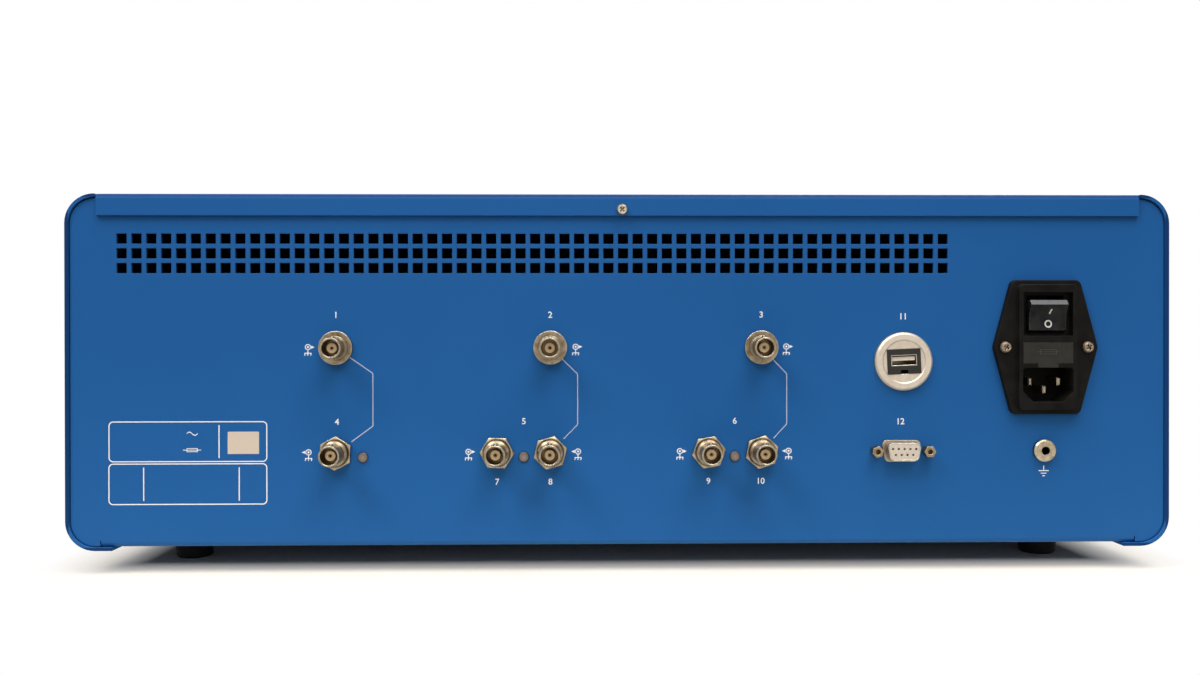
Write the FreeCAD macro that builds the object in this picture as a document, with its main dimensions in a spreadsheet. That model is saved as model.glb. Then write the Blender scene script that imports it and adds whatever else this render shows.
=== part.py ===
# Bench impedance analyzer: folded steel case, connector panel, mains inlet, jacks and inner units.
# Millimetres, +Z up. The connector panel faces -Y, and +X is to the right of someone who looks at it.
# The origin is on the surface that the feet stand on, under the middle of the whole instrument.

import FreeCAD
import Part
import Sketcher

import os
import re

# Driving dimensions: name, size in millimetres (or a count, or degrees), and what it measures.
SIZES = {
    # Case
    "case_width": (528.0, "outer width of the cover"),
    "case_height": (169.4, "outer height of the cover"),
    "case_depth": (360.0, "from the connector panel's face to the front panel's face"),
    "sheet": (1.6, "steel sheet of the cover and the chassis"),
    "corner_radius": (14.0, "outer radius of the cover's long corners"),
    "bend_inside": (0.8, "inner radius of the sharp folds"),
    "bend_margin": (0.6, "flat left above a fold before the wall widens"),
    "cover_overhang": (1.0, "how far the cover stands past the connector panel"),
    "panel_gap": (0.6, "slit between the cover and the edge of a chassis wall"),
    "lower_gap": (0.4, "slit between the cover's lower flange and the wall's corner"),
    "flange_width": (22.0, "lower flange of the cover, from its side inward"),
    "lip_depth": (10.4, "rear lip, from the cover's top down"),
    "relief_width": (1.0, "relief slot at each end of a fold"),
    "relief_depth": (3.0, "length of a relief slot along the fold's leg"),
    "fold_inset": (16.5, "how far each end of the chassis's lower fold lies inside the case's side"),
    "slit_width": (0.5, "relief slit at each end of the chassis's lower fold"),
    "front_plate": (3.0, "thickness of the front panel"),
    "plate_bevel": (0.6, "bevel round the front panel's face"),
    "hole_clearance": (0.2, "radial room of a clearance hole"),
    "thread_room": (0.1, "radial room between a nut and its thread"),
    "seat_room": (0.05, "radial room of a pressed or moulded-in piece"),
    # Ventilation grid
    "vent_pitch": (7.0, "pitch of the square vents, both ways"),
    "vent_side": (4.9, "side of one square vent"),
    "vent_columns": (57, "vents in a row"),
    "vent_rows": (3, "rows of vents"),
    "vent_inset": (26.45, "middle of the first vent column inside the case's left side"),
    "vent_height": (148.07, "height of the top row above the case's underside"),
    # Feet and screws
    "foot_height": (11.5, "from the floor to the case's underside"),
    "foot_width": (20.0, "diameter of a foot at its top"),
    "foot_taper": (1.0, "how much less the radius is at the floor"),
    "foot_inset": (45.0, "foot centre from the side and from each end"),
    "foot_bore": (9.2, "counterbore that hides the screw's head"),
    "foot_seat": (4.0, "rubber left between the screw's head and the case"),
    "foot_screw": (4.0, "thread of the foot's screw"),
    "foot_screw_head": (8.0, "head of the foot's screw"),
    "foot_nut_flats": (7.0, "nut of the foot's screw, across flats"),
    "foot_nut_height": (3.2, "nut of the foot's screw, height"),
    "small_screw": (3.0, "thread of the small screws"),
    "small_head": (5.5, "pan head of the small screws"),
    "small_head_height": (2.1, "height of the small pan head"),
    "cross_width": (0.9, "width of the recess in a screw's head"),
    "cross_span": (2.9, "length of the recess in a screw's head"),
    "cross_depth": (1.1, "depth of the recess in a screw's head"),
    "clinch_width": (6.3, "diameter of a clinch nut"),
    "clinch_height": (3.0, "height of a clinch nut"),
    "small_nut_flats": (5.5, "small nut across flats"),
    "small_nut_height": (2.4, "small nut height"),
    "lip_screw_drop": (7.6, "cover screw below the top of the case"),
    "plate_screw_inset": (22.0, "front panel's screws from its edges"),
    # Coaxial jacks
    "jack_tube": (9.7, "outside of the bayonet tube"),
    "jack_cavity": (8.2, "bore of the bayonet tube"),
    "jack_core": (4.9, "insulator in the middle of a jack"),
    "jack_cavity_depth": (9.0, "depth of the ring-shaped space in a jack"),
    "jack_lug": (2.0, "diameter of a bayonet stud"),
    "jack_lug_span": (11.0, "across both bayonet studs"),
    "jack_lug_back": (4.6, "bayonet studs behind the rim"),
    "jack_core_back": (3.7, "insulator's face behind the rim"),
    "jack_pin": (2.1, "outside of the contact"),
    "jack_pin_bore": (1.35, "bore of the contact"),
    "jack_pin_bore_depth": (5.0, "depth of the contact's bore"),
    "jack_tail": (7.5, "outside of the solder end"),
    "jack_tail_length": (6.0, "length of the solder end"),
    "jack_tag_length": (4.0, "contact past the solder end"),
    "nut_reach": (16.0, "rim of a nut-mounted jack off the panel"),
    "nut_barrel": (12.7, "thread of a nut-mounted jack"),
    "nut_shoulder": (3.8, "where the thread of a nut-mounted jack ends"),
    "nut_neck": (5.6, "where the rounded shoulder meets the tube"),
    "nut_bulge_back": (0.55, "share of the rounded shoulder's depth at its bulge"),
    "nut_bulge_width": (0.78, "share of the rounded shoulder's width at its bulge"),
    "nut_flats": (14.2, "panel nut across flats"),
    "nut_height": (3.0, "panel nut height"),
    "nut_chamfer": (1.0, "height of the chamfer on the nut's corners"),
    "inner_flange": (16.4, "inner flange of a nut-mounted jack"),
    "inner_flange_height": (2.2, "thickness of that inner flange"),
    "flange_reach": (12.6, "rim of a flange-mounted jack off the panel"),
    "flange_width_round": (16.0, "round flange of a flange-mounted jack"),
    "flange_height": (2.0, "thickness of the round flange"),
    "flange_step": (10.9, "low step between the flange and the tube"),
    "flange_step_height": (0.9, "height of that step"),
    "flange_barrel": (9.5, "thread of a flange-mounted jack"),
    "back_nut_flats": (12.7, "nut of a flange-mounted jack, across flats"),
    "back_nut_height": (2.6, "nut of a flange-mounted jack, height"),
    "upper_row": (96.1, "upper row of jacks above the case's underside"),
    "lower_row": (46.0, "lower row of jacks above the case's underside"),
    "jack_column_a": (-136.4, "first column of jacks"),
    "jack_column_b": (-34.4, "second column of jacks"),
    "jack_column_c": (66.7, "third column of jacks"),
    "pair_pitch": (25.4, "between the two jacks of a channel"),
    "front_jack_pitch": (22.0, "between the front jacks"),
    "front_row": (84.7, "front jacks above the case's underside"),
    # Indicators
    "lamp_width": (5.0, "lens of an indicator"),
    "lamp_proud": (0.9, "lens in front of the panel"),
    "lamp_collar": (5.9, "collar behind the panel"),
    "lamp_length": (7.5, "indicator behind the panel"),
    "lamp_offset": (12.7, "indicator beside its jack"),
    "lamp_drop": (2.2, "indicator below the lower row"),
    "power_lamp_place": (215.0, "front indicator across the front panel"),
    # Serial connector
    "serial_place": (134.2, "serial connector across the panel"),
    "serial_height": (46.2, "serial connector above the case's underside"),
    "serial_pitch": (24.99, "between the serial connector's jack screws"),
    "serial_base_width": (19.2, "wide side of the raised base"),
    "serial_base_height": (10.4, "height of the raised base"),
    "serial_base_proud": (0.6, "raised base in front of the panel"),
    "serial_shell_width": (16.3, "wide side of the shell"),
    "serial_shell_height": (8.4, "height of the shell"),
    "serial_slope": (0.176, "slope of the shell's ends"),
    "serial_reach": (6.0, "shell off the panel"),
    "serial_wall": (0.5, "wall of the shell"),
    "serial_corner": (2.2, "corners of the shell"),
    "serial_plate_width": (30.8, "mounting plate behind the panel"),
    "serial_plate_height": (12.5, "height of the mounting plate"),
    "serial_plate": (1.0, "thickness of the mounting plate"),
    "serial_depth": (9.0, "insulator behind the panel"),
    "pin_pitch": (2.77, "between the holes of a row"),
    "pin_row_gap": (2.84, "between the two rows of holes"),
    "pin_hole": (1.1, "diameter of a hole"),
    "pin_hole_depth": (6.0, "depth of a hole"),
    "post_flats": (4.8, "jack screw across flats"),
    "post_reach": (5.5, "jack screw off the panel"),
    "post_bore": (2.6, "threaded bore of a jack screw"),
    "post_bore_depth": (4.5, "depth of that bore"),
    "post_shank": (2.8, "shank of a jack screw"),
    # Round data socket
    "data_place": (135.2, "data socket across the panel"),
    "data_height": (89.2, "data socket above the case's underside"),
    "data_bezel": (28.2, "outside of the round bezel"),
    "data_bezel_height": (2.2, "bezel in front of the panel"),
    "data_disc": (20.1, "sunk disc inside the bezel"),
    "data_disc_sink": (0.5, "how far the disc lies below the bezel"),
    "data_barrel": (22.0, "thread behind the bezel"),
    "data_barrel_length": (14.0, "thread behind the panel's face"),
    "data_nut_width": (27.0, "round nut behind the panel"),
    "data_nut_height": (3.0, "height of the round nut"),
    "data_turn": (-2.5, "the socket sits slightly turned, degrees"),
    "insert_width": (16.1, "black insert, width"),
    "insert_height": (11.9, "black insert, height"),
    "insert_proud": (0.3, "insert in front of the disc"),
    "insert_corner": (1.0, "corners of the insert"),
    "port_width": (12.5, "metal shell of the port, width"),
    "port_height": (5.4, "metal shell of the port, height"),
    "port_wall": (0.4, "wall of the metal shell"),
    "port_rise": (0.6, "port above the insert's middle"),
    "tongue_width": (11.0, "contact tongue, width"),
    "tongue_height": (1.9, "contact tongue, height"),
    "tongue_back": (1.2, "contact tongue behind the insert's face"),
    "key_width": (3.7, "keyway in the insert, width"),
    "key_height": (1.9, "keyway in the insert, height"),
    # Earth socket
    "earth_place": (203.4, "earth socket across the panel"),
    "earth_height": (46.2, "earth socket above the case's underside"),
    "earth_width": (10.8, "outside of the earth socket"),
    "earth_reach": (2.6, "earth socket off the panel"),
    "earth_bore": (4.0, "bore of the earth socket"),
    "earth_bore_depth": (14.0, "depth of that bore"),
    "earth_barrel": (7.9, "thread of the earth socket"),
    "earth_length": (16.0, "earth socket behind the panel's face"),
    "earth_nut_flats": (11.0, "earth socket's nut across flats"),
    "earth_nut_height": (2.6, "earth socket's nut height"),
    # Mains inlet
    "inlet_place": (203.4, "mains inlet across the panel"),
    "inlet_height": (96.0, "mains inlet above the case's underside"),
    "inlet_pitch": (39.7, "between the inlet's screws"),
    "inlet_span": (50.3, "flange from point to point"),
    "inlet_tall": (64.5, "height of the flange"),
    "inlet_shoulder": (33.0, "flat top edge of the flange"),
    "inlet_flange": (3.0, "thickness of the flange"),
    "inlet_corner": (3.2, "corners of the flange"),
    "block_width": (28.1, "raised block, width"),
    "block_height": (60.4, "raised block, height"),
    "block_reach": (5.4, "raised block off the panel"),
    "block_corner": (2.4, "corners of the raised block"),
    "block_edge": (0.7, "rounded edge of the raised block"),
    "trunk_width": (27.4, "body behind the panel, width"),
    "trunk_height": (58.4, "body behind the panel, height"),
    "trunk_depth": (24.0, "body behind the panel's face"),
    "switch_rise": (15.9, "switch above the inlet's middle"),
    "recess_width": (24.1, "recess round the rocker, width"),
    "recess_height": (21.0, "recess round the rocker, height"),
    "recess_depth": (4.2, "recess round the rocker, depth"),
    "rocker_width": (17.7, "rocker, width"),
    "rocker_ridge": (6.2, "half height between the rocker's ridges"),
    "rocker_half": (7.9, "half height of the rocker's shoulders"),
    "rocker_reach": (6.2, "ridges off the panel with the rocker level"),
    "rocker_bevel": (2.4, "depth of the bevelled ends"),
    "rocker_dish": (1.5, "how hollow the rocker's face is"),
    "rocker_foot": (5.4, "half height of the rocker's inner end"),
    "rocker_back": (4.0, "rocker's inner end behind the panel's face"),
    "rocker_gap": (0.3, "room at each side of the rocker"),
    "rocker_room": (1.1, "room above and below the rocker"),
    "rocker_well": (10.0, "depth of the rocker's well behind the panel's face"),
    "rocker_tilt": (12.0, "tilt of the rocker at rest, degrees"),
    "pivot_depth": (1.5, "rocker's pivot behind the panel's face"),
    "pivot_pin": (2.4, "diameter of the rocker's pivot"),
    "pivot_room": (0.05, "radial room round the pivot"),
    "pivot_reach": (1.2, "pivot past each side of the rocker"),
    "drawer_drop": (2.7, "fuse drawer below the inlet's middle"),
    "drawer_width": (23.8, "fuse drawer, width"),
    "drawer_height": (9.8, "fuse drawer, height"),
    "drawer_plate": (3.0, "thickness of the drawer's front"),
    "drawer_length": (19.0, "drawer behind its front"),
    "drawer_room": (0.15, "room all round the drawer's front"),
    "drawer_inset": (0.6, "how much narrower the drawer's tray is, each side"),
    "drawer_floor": (1.3, "floor of the drawer's tray"),
    "tab_width": (9.5, "finger tab under the drawer's front, width"),
    "tab_height": (2.1, "finger tab under the drawer's front, height"),
    "fuse_width": (5.2, "caps of the fuse"),
    "fuse_glass": (4.6, "glass of the fuse"),
    "fuse_length": (20.0, "length of the fuse"),
    "fuse_cap": (5.0, "length of each cap"),
    "fuse_room": (0.3, "room round the fuse in its trough"),
    "socket_drop": (17.95, "plug cavity below the inlet's middle"),
    "socket_width": (24.5, "plug cavity, width"),
    "socket_height": (16.5, "plug cavity, height"),
    "socket_cut": (5.0, "sloping corners of the plug cavity"),
    "socket_corner": (2.0, "rounded corners of the plug cavity"),
    "socket_depth": (16.0, "plug cavity, depth from the block's face"),
    "blade_pitch": (14.0, "between the live and neutral blades"),
    "blade_rise": (1.35, "live and neutral blades above the cavity's middle"),
    "blade_drop": (4.0, "earth blade below the other two"),
    "blade_width": (2.0, "width of a blade"),
    "blade_height": (4.0, "height of a blade"),
    "blade_tip": (0.6, "bevel at the tip of a blade"),
    "blade_back": (4.4, "blade tips behind the block's face"),
    "blade_tail": (8.0, "blade behind the inlet's body"),
    # Inner units
    "board_thick": (1.6, "thickness of the circuit board"),
    "board_width": (300.0, "circuit board, width"),
    "board_depth": (210.0, "circuit board, depth"),
    "board_place": (-70.0, "circuit board's middle across the case"),
    "board_start": (60.0, "circuit board's edge behind the connector panel"),
    "board_screw_inset": (8.0, "board's screws from its edges"),
    "standoff_height": (8.0, "board above the chassis"),
    "standoff_flats": (5.5, "standoff across flats"),
    "shield_width": (150.0, "screening can, width"),
    "shield_depth": (95.0, "screening can, depth"),
    "shield_height": (24.0, "screening can, height"),
    "shield_wall": (0.8, "wall of the screening can"),
    "shield_shift": (30.0, "screening can beside the board's middle"),
    "supply_width": (98.0, "power supply, width"),
    "supply_depth": (178.0, "power supply, depth"),
    "supply_height": (42.0, "power supply, height"),
    "supply_inset": (33.0, "power supply's side inside the case's right side"),
    "supply_start": (70.0, "power supply's edge behind the connector panel"),
    "supply_fold": (2.0, "rounded edges of the power supply"),
    "supply_slot": (3.0, "width of a slot in the power supply's lid"),
    "supply_slots": (12, "slots in the power supply's lid"),
    "supply_slot_pitch": (12.0, "between the slots"),
    "supply_slot_length": (60.0, "length of a slot"),
    "supply_slot_depth": (1.2, "depth of a slot"),
}

X_WAY = FreeCAD.Vector(1, 0, 0)
Y_WAY = FreeCAD.Vector(0, 1, 0)
Z_WAY = FreeCAD.Vector(0, 0, 1)
NEAR = 0.01

# Before its radius is set, a corner's arc takes this share of the shortest side and bulges by this share.
CORNER_SHARE = 0.1
ARC_BULGE = 0.3

doc = FreeCAD.newDocument("impedance_analyzer")
sheet = doc.addObject("Spreadsheet::Sheet", "Sizes")
nodes = []


def fill_sheet():
    """Write every driving dimension into the sheet under its own name."""
    for row, (name, (number, meaning)) in enumerate(SIZES.items(), 1):
        sheet.set("A%d" % row, meaning)
        sheet.set("B%d" % row, str(number))
        sheet.setAlias("B%d" % row, name)
    doc.recompute()


def size(name):
    """The number that the sheet holds under a name."""
    return float(sheet.get(name))


def tied(text):
    """An expression with the sheet's name in front of each driving dimension."""
    def with_sheet(word):
        return "Sizes." + word.group() if word.group() in SIZES else word.group()
    return re.sub(r"[a-z][a-z_]*", with_sheet, text)


def bind(thing, prop, text):
    """Tie a property of an object to the sheet."""
    thing.setExpression(prop, tied(text))


def new_body(label):
    body = doc.addObject("PartDesign::Body", label)
    body.Label = label
    return body


def origin_part(body, role):
    """The origin plane or axis of a body that plays a role, such as XY_Plane."""
    return next(part for part in body.Origin.OriginFeatures if part.Role == role)


def new_sketch(body, role, name, offset=None):
    """A sketch on one of the body's origin planes, or a stated distance along that plane's normal."""
    sketch = body.newObject("Sketcher::SketchObject", name)
    sketch.AttachmentSupport = (origin_part(body, role), [""])
    sketch.MapMode = "FlatFace"
    if offset is not None:
        bind(sketch, "AttachmentOffset.Base.z", offset)
    return sketch


def hold_point(sketch, geometry, point, across, up):
    """Fix a point of a sketch at two expressions."""
    for kind, text in (("DistanceX", across), ("DistanceY", up)):
        number = sketch.addConstraint(Sketcher.Constraint(kind, -1, 1, geometry, point, 1.0))
        bind(sketch, "Constraints[%d]" % number, text)


def outline(sketch, corners):
    """Draw a closed outline through corners given as pairs of expressions.

    The corners start on scattered places, all different, and the constraints then move them home.
    """
    first = sketch.GeometryCount
    count = len(corners)
    spread = [FreeCAD.Vector(index, (index * index) % (count + 1), 0) for index in range(count)]
    for index in range(count):
        sketch.addGeometry(Part.LineSegment(spread[index], spread[(index + 1) % count]))
    for index in range(count):
        following = first + (index + 1) % count
        sketch.addConstraint(Sketcher.Constraint("Coincident", first + index, 2, following, 1))
    for index, (across, up) in enumerate(corners):
        hold_point(sketch, first + index, 1, across, up)


def rounded_outline(sketch, corners, radius):
    """Draw a closed outline whose corners are arcs of one radius, inside a sharp construction outline."""
    guide = sketch.GeometryCount
    outline(sketch, corners)
    sketch.recompute()
    count = len(corners)
    points = [sketch.getPoint(guide + index, 1) for index in range(count)]
    for index in range(count):
        sketch.toggleConstruction(guide + index)
    sides = [points[(index + 1) % count] - points[index] for index in range(count)]
    trim = CORNER_SHARE * min(side.Length for side in sides)
    starts = [point + side / side.Length * trim for point, side in zip(points, sides)]
    ends = [point + side / side.Length * (side.Length - trim) for point, side in zip(points, sides)]
    first = sketch.GeometryCount
    for start, end in zip(starts, ends):
        sketch.addGeometry(Part.LineSegment(start, end))
    for index in range(count):
        before = sides[index - 1] / sides[index - 1].Length
        after = sides[index] / sides[index].Length
        bulge = points[index] + (after - before) * trim * ARC_BULGE
        sketch.addGeometry(Part.Arc(ends[index - 1], bulge, starts[index]))
    for index in range(count):
        line = first + index
        arc = first + count + index
        near = arc_end_at(sketch, arc, starts[index])
        sketch.addConstraint(Sketcher.Constraint("Tangent", line, 1, arc, near))
        sketch.addConstraint(Sketcher.Constraint("Tangent", first + (index - 1) % count, 2, arc, 3 - near))
        sketch.addConstraint(Sketcher.Constraint("PointOnObject", line, 1, guide + index))
        sketch.addConstraint(Sketcher.Constraint("PointOnObject", line, 2, guide + index))
        held = sketch.addConstraint(Sketcher.Constraint("Radius", arc, trim))
        bind(sketch, "Constraints[%d]" % held, radius)


def arc_end_at(sketch, arc, point):
    """Which end of an arc, 1 or 2, lies at a point."""
    return min((1, 2), key=lambda end: sketch.getPoint(arc, end).distanceToPoint(point))


def rectangle(sketch, low_x, high_x, low_y, high_y):
    outline(sketch, [(low_x, low_y), (high_x, low_y), (high_x, high_y), (low_x, high_y)])


def centred_rectangle(sketch, middle_x, middle_y, width, height):
    left = "%s - (%s) / 2" % (middle_x, width)
    right = "%s + (%s) / 2" % (middle_x, width)
    bottom = "%s - (%s) / 2" % (middle_y, height)
    top = "%s + (%s) / 2" % (middle_y, height)
    rectangle(sketch, left, right, bottom, top)


def circle(sketch, across, up, radius):
    """Draw a circle whose centre and radius are expressions."""
    middle = FreeCAD.Vector(sketch.GeometryCount, 0, 0)
    number = sketch.addGeometry(Part.Circle(middle, Z_WAY, 1.0))
    hold_point(sketch, number, 3, across, up)
    constraint = sketch.addConstraint(Sketcher.Constraint("Radius", number, 1.0))
    bind(sketch, "Constraints[%d]" % constraint, radius)


def hexagon(sketch, flats):
    """Draw a hexagon round the sketch's origin, with two corners up and down."""
    side = "(%s) / 2" % flats
    high = "(%s) / sqrt(3)" % flats
    low = "(%s) / sqrt(3) / 2" % flats
    outline(sketch, [(side, low), ("0", high), ("-" + side, low),
                     ("-" + side, "-" + low), ("0", "-" + high), (side, "-" + low)])


def pad(body, name, sketch, length, reverse=False, both=False):
    feature = body.newObject("PartDesign::Pad", name)
    feature.Profile = sketch
    feature.Reversed = reverse
    feature.SideType = "Symmetric" if both else "One side"
    bind(feature, "Length", length)
    body.Tip = feature
    return feature


def pocket(body, name, sketch, length, reverse=False, both=False):
    feature = body.newObject("PartDesign::Pocket", name)
    feature.Profile = sketch
    feature.Reversed = reverse
    feature.SideType = "Symmetric" if both else "One side"
    bind(feature, "Length", length)
    body.Tip = feature
    return feature


def revolve(body, name, sketch, role="Y_Axis", kind="PartDesign::Revolution"):
    """Turn a sketch a full circle about one of the body's axes."""
    feature = body.newObject(kind, name)
    feature.Profile = sketch
    feature.ReferenceAxis = (origin_part(body, role), [""])
    feature.Angle = 360
    body.Tip = feature
    return feature


def straight_edges(feature, way, chosen):
    """Names of a feature's straight edges along a direction whose middle passes a test."""
    names = []
    for number, edge in enumerate(feature.Shape.Edges, 1):
        if edge.Curve.TypeId != "Part::GeomLine":
            continue
        along = edge.tangentAt(edge.FirstParameter)
        if abs(along.dot(way)) > 1 - NEAR and chosen(edge.CenterOfMass):
            names.append("Edge%d" % number)
    return names


def face_edges(feature, chosen):
    """Names of every edge of the faces whose middle passes a test."""
    wanted = [edge for face in feature.Shape.Faces if chosen(face) for edge in face.OuterWire.Edges]
    names = []
    for number, edge in enumerate(feature.Shape.Edges, 1):
        if any(edge.isSame(other) for other in wanted):
            names.append("Edge%d" % number)
    return names


def round_edges(body, name, feature, edges, radius, kind="PartDesign::Fillet"):
    """Round or bevel the named edges of a feature."""
    blend = body.newObject(kind, name)
    blend.Base = (feature, edges)
    bind(blend, "Size" if kind == "PartDesign::Chamfer" else "Radius", radius)
    body.Tip = blend
    return blend


def place(thing, across, along, up, way=None, turn=None):
    """Put a sub-part at three expressions, turned about a direction by an angle in degrees."""
    if way is not None:
        thing.Placement = FreeCAD.Placement(FreeCAD.Vector(), FreeCAD.Rotation(way, turn))
    bind(thing, "Placement.Base.x", across)
    bind(thing, "Placement.Base.y", along)
    bind(thing, "Placement.Base.z", up)


def on_panel(thing, across, up, way=None, turn=None):
    """Put a sub-part on the connector panel's outer face."""
    place(thing, across, "-case_depth / 2", "foot_height + %s" % up, way, turn)


def on_front(thing, across, up):
    """Put a sub-part on the front panel's outer face, turned to look out of it."""
    place(thing, across, "case_depth / 2", "foot_height + %s" % up, Z_WAY, 180)


def in_case(thing):
    """Keep a sub-part in the case's frame: the panel's face, the middle and the case's underside."""
    place(thing, "0", "-case_depth / 2", "foot_height")


def keep(thing, label=None):
    """Count an object as a sub-part that gets its own file."""
    if label is not None:
        thing.Label = label
    nodes.append(thing)
    return thing


def group(label, pieces):
    """Join like pieces into one sub-part of separate solids."""
    cluster = doc.addObject("Part::Compound", label)
    cluster.Links = pieces
    return keep(cluster, label)


# Case

CHASSIS_DEPTH = "(case_depth - front_plate)"
WALL_HALF = "(case_width / 2 - sheet - panel_gap)"
WALL_TOP = "(case_height - sheet - panel_gap)"
WALL_START = "(2 * sheet + bend_inside + bend_margin)"
FOLD_HALF = "(case_width / 2 - fold_inset)"
LIP_HALF = "(case_width / 2 - corner_radius - relief_width)"


def make_cover():
    """The wrap-round cover: lower flanges, sides, top and a lip folded down over the panel."""
    body = new_body("cover")
    half = "case_width / 2"
    inner = "(case_width / 2 - sheet)"
    foot = "(case_width / 2 - flange_width)"
    under_top = "(case_height - sheet)"
    profile = new_sketch(body, "XZ_Plane", "cover_profile", "cover_overhang")
    outline(profile, [
        ("-" + foot, "0"), ("-" + half, "0"), ("-" + half, "case_height"), (half, "case_height"),
        (half, "0"), (foot, "0"), (foot, "sheet"), (inner, "sheet"), (inner, under_top),
        ("-" + inner, under_top), ("-" + inner, "sheet"), ("-" + foot, "sheet")])
    wrap = pad(body, "cover_wrap", profile, CHASSIS_DEPTH + " + cover_overhang", reverse=True)
    doc.recompute()
    side = size("case_width") / 2
    thick = size("sheet")
    outer = straight_edges(wrap, Y_WAY, lambda at: abs(abs(at.x) - side) < NEAR and (
        at.z < NEAR or at.z > size("case_height") - NEAR))
    rounded = round_edges(body, "cover_outer_corners", wrap, outer, "corner_radius")
    doc.recompute()
    inside = straight_edges(rounded, Y_WAY, lambda at: abs(abs(at.x) - side + thick) < NEAR and (
        abs(at.z - thick) < NEAR or abs(at.z - size("case_height") + thick) < NEAR))
    round_edges(body, "cover_inner_corners", rounded, inside, "corner_radius - sheet")
    relief = new_sketch(body, "XY_Plane", "cover_relief_slots", "case_height")
    far = LIP_HALF + " + relief_width"
    rectangle(relief, LIP_HALF, far, "-2 * cover_overhang", "relief_depth")
    rectangle(relief, "-(%s)" % far, "-" + LIP_HALF, "-2 * cover_overhang", "relief_depth")
    pocket(body, "cover_relief", relief, "sheet")
    fold = new_sketch(body, "YZ_Plane", "cover_lip_profile")
    outline(fold, [
        ("-sheet", "case_height"), ("-sheet", "case_height - lip_depth"),
        ("0", "case_height - lip_depth"), ("0", under_top),
        ("relief_depth", under_top), ("relief_depth", "case_height")])
    lip = pad(body, "cover_lip", fold, "2 * " + LIP_HALF, both=True)
    doc.recompute()
    crest = straight_edges(lip, X_WAY, lambda at: abs(at.x) < 1 and abs(at.y + thick) < NEAR
                           and at.z > size("case_height") - NEAR)
    bent = round_edges(body, "cover_lip_bend", lip, crest, "sheet + bend_inside")
    doc.recompute()
    root = straight_edges(bent, X_WAY, lambda at: abs(at.y) < NEAR
                          and abs(at.z - size("case_height") + thick) < NEAR)
    round_edges(body, "cover_lip_root", bent, root, "bend_inside")
    hole = new_sketch(body, "XZ_Plane", "cover_screw_hole")
    circle(hole, "0", "case_height - lip_screw_drop", "small_screw / 2 + hole_clearance")
    pocket(body, "cover_screw_opening", hole, "4 * sheet", both=True)
    in_case(body)
    keep(body)


def wall_outline(sketch):
    """The outline of an upright chassis wall, with relief slits where its lower fold ends."""
    slit_end = "(" + FOLD_HALF + " + slit_width)"
    low = "(sheet + lower_gap)"
    outline(sketch, [
        ("-" + WALL_HALF, low), ("-" + slit_end, low), ("-" + slit_end, WALL_START),
        (slit_end, WALL_START), (slit_end, low), (WALL_HALF, low),
        (WALL_HALF, WALL_TOP), ("-" + WALL_HALF, WALL_TOP)])


def jack_places():
    """Every rear jack: its name, its kind, its place across and its row."""
    return [
        ("generator_in_jack", "flange", "jack_column_a", "upper_row"),
        ("voltage_out_jack", "flange", "jack_column_b", "upper_row"),
        ("current_out_jack", "flange", "jack_column_c", "upper_row"),
        ("generator_out_jack", "nut", "jack_column_a", "lower_row"),
        ("channel_1_aux_jack", "nut", "(jack_column_b - pair_pitch)", "lower_row"),
        ("channel_1_main_jack", "nut", "jack_column_b", "lower_row"),
        ("channel_2_aux_jack", "nut", "(jack_column_c - pair_pitch)", "lower_row"),
        ("channel_2_main_jack", "nut", "jack_column_c", "lower_row"),
    ]


def lamp_places():
    """The indicators beside the jacks: name and place across."""
    return [
        ("generator_lamp", "(jack_column_a + lamp_offset)"),
        ("channel_1_lamp", "(jack_column_b - lamp_offset)"),
        ("channel_2_lamp", "(jack_column_c - lamp_offset)"),
    ]


def front_jack_places():
    """Front jacks: name and place across."""
    names = ["high_current_jack", "high_voltage_jack", "low_voltage_jack", "low_current_jack"]
    middle = (len(names) - 1) / 2
    return [(name, "(%s * front_jack_pitch)" % (index - middle)) for index, name in enumerate(names)]


def plate_screw_places():
    """The front panel's four screws, as pairs of expressions."""
    across = "(case_width / 2 - plate_screw_inset)"
    top = "(case_height - plate_screw_inset)"
    return [(sign + across, up) for sign in ("-", "") for up in ("plate_screw_inset", top)]


def foot_places():
    """The four feet: name, place across and place along the case."""
    across = "(case_width / 2 - foot_inset)"
    far = "(case_depth - foot_inset)"
    return [("rear_left_foot", "-" + across, "foot_inset"), ("rear_right_foot", across, "foot_inset"),
            ("front_left_foot", "-" + across, far), ("front_right_foot", across, far)]


def board_screw_places():
    """The circuit board's screws, in two rows of three."""
    reach = "(board_width / 2 - board_screw_inset)"
    near = "(board_start + board_screw_inset)"
    far = "(board_start + board_depth - board_screw_inset)"
    return [("(board_place + %d * %s)" % (step, reach), along) for step in (-1, 0, 1) for along in (near, far)]


def cut_rear_openings(body):
    """Cut the round holes and the inlet's window in the connector panel."""
    holes = new_sketch(body, "XZ_Plane", "panel_openings")
    for _, kind, across, up in jack_places():
        circle(holes, across, up, "%s_barrel / 2 + hole_clearance" % kind)
    for _, across in lamp_places():
        circle(holes, across, "lower_row - lamp_drop", "lamp_width / 2 + seat_room")
    circle(holes, "data_place", "data_height", "data_barrel / 2 + hole_clearance")
    circle(holes, "earth_place", "earth_height", "earth_barrel / 2 + hole_clearance")
    circle(holes, "0", "case_height - lip_screw_drop", "small_screw / 2 + hole_clearance")
    for sign in ("-", "+"):
        circle(holes, "serial_place %s serial_pitch / 2" % sign, "serial_height",
               "post_shank / 2 + hole_clearance")
        circle(holes, "inlet_place %s inlet_pitch / 2" % sign, "inlet_height",
               "small_screw / 2 + hole_clearance")
    centred_rectangle(holes, "inlet_place", "inlet_height",
                      "trunk_width + 2 * hole_clearance", "trunk_height + 2 * hole_clearance")
    pocket(body, "panel_holes", holes, "4 * sheet", both=True)


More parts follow.
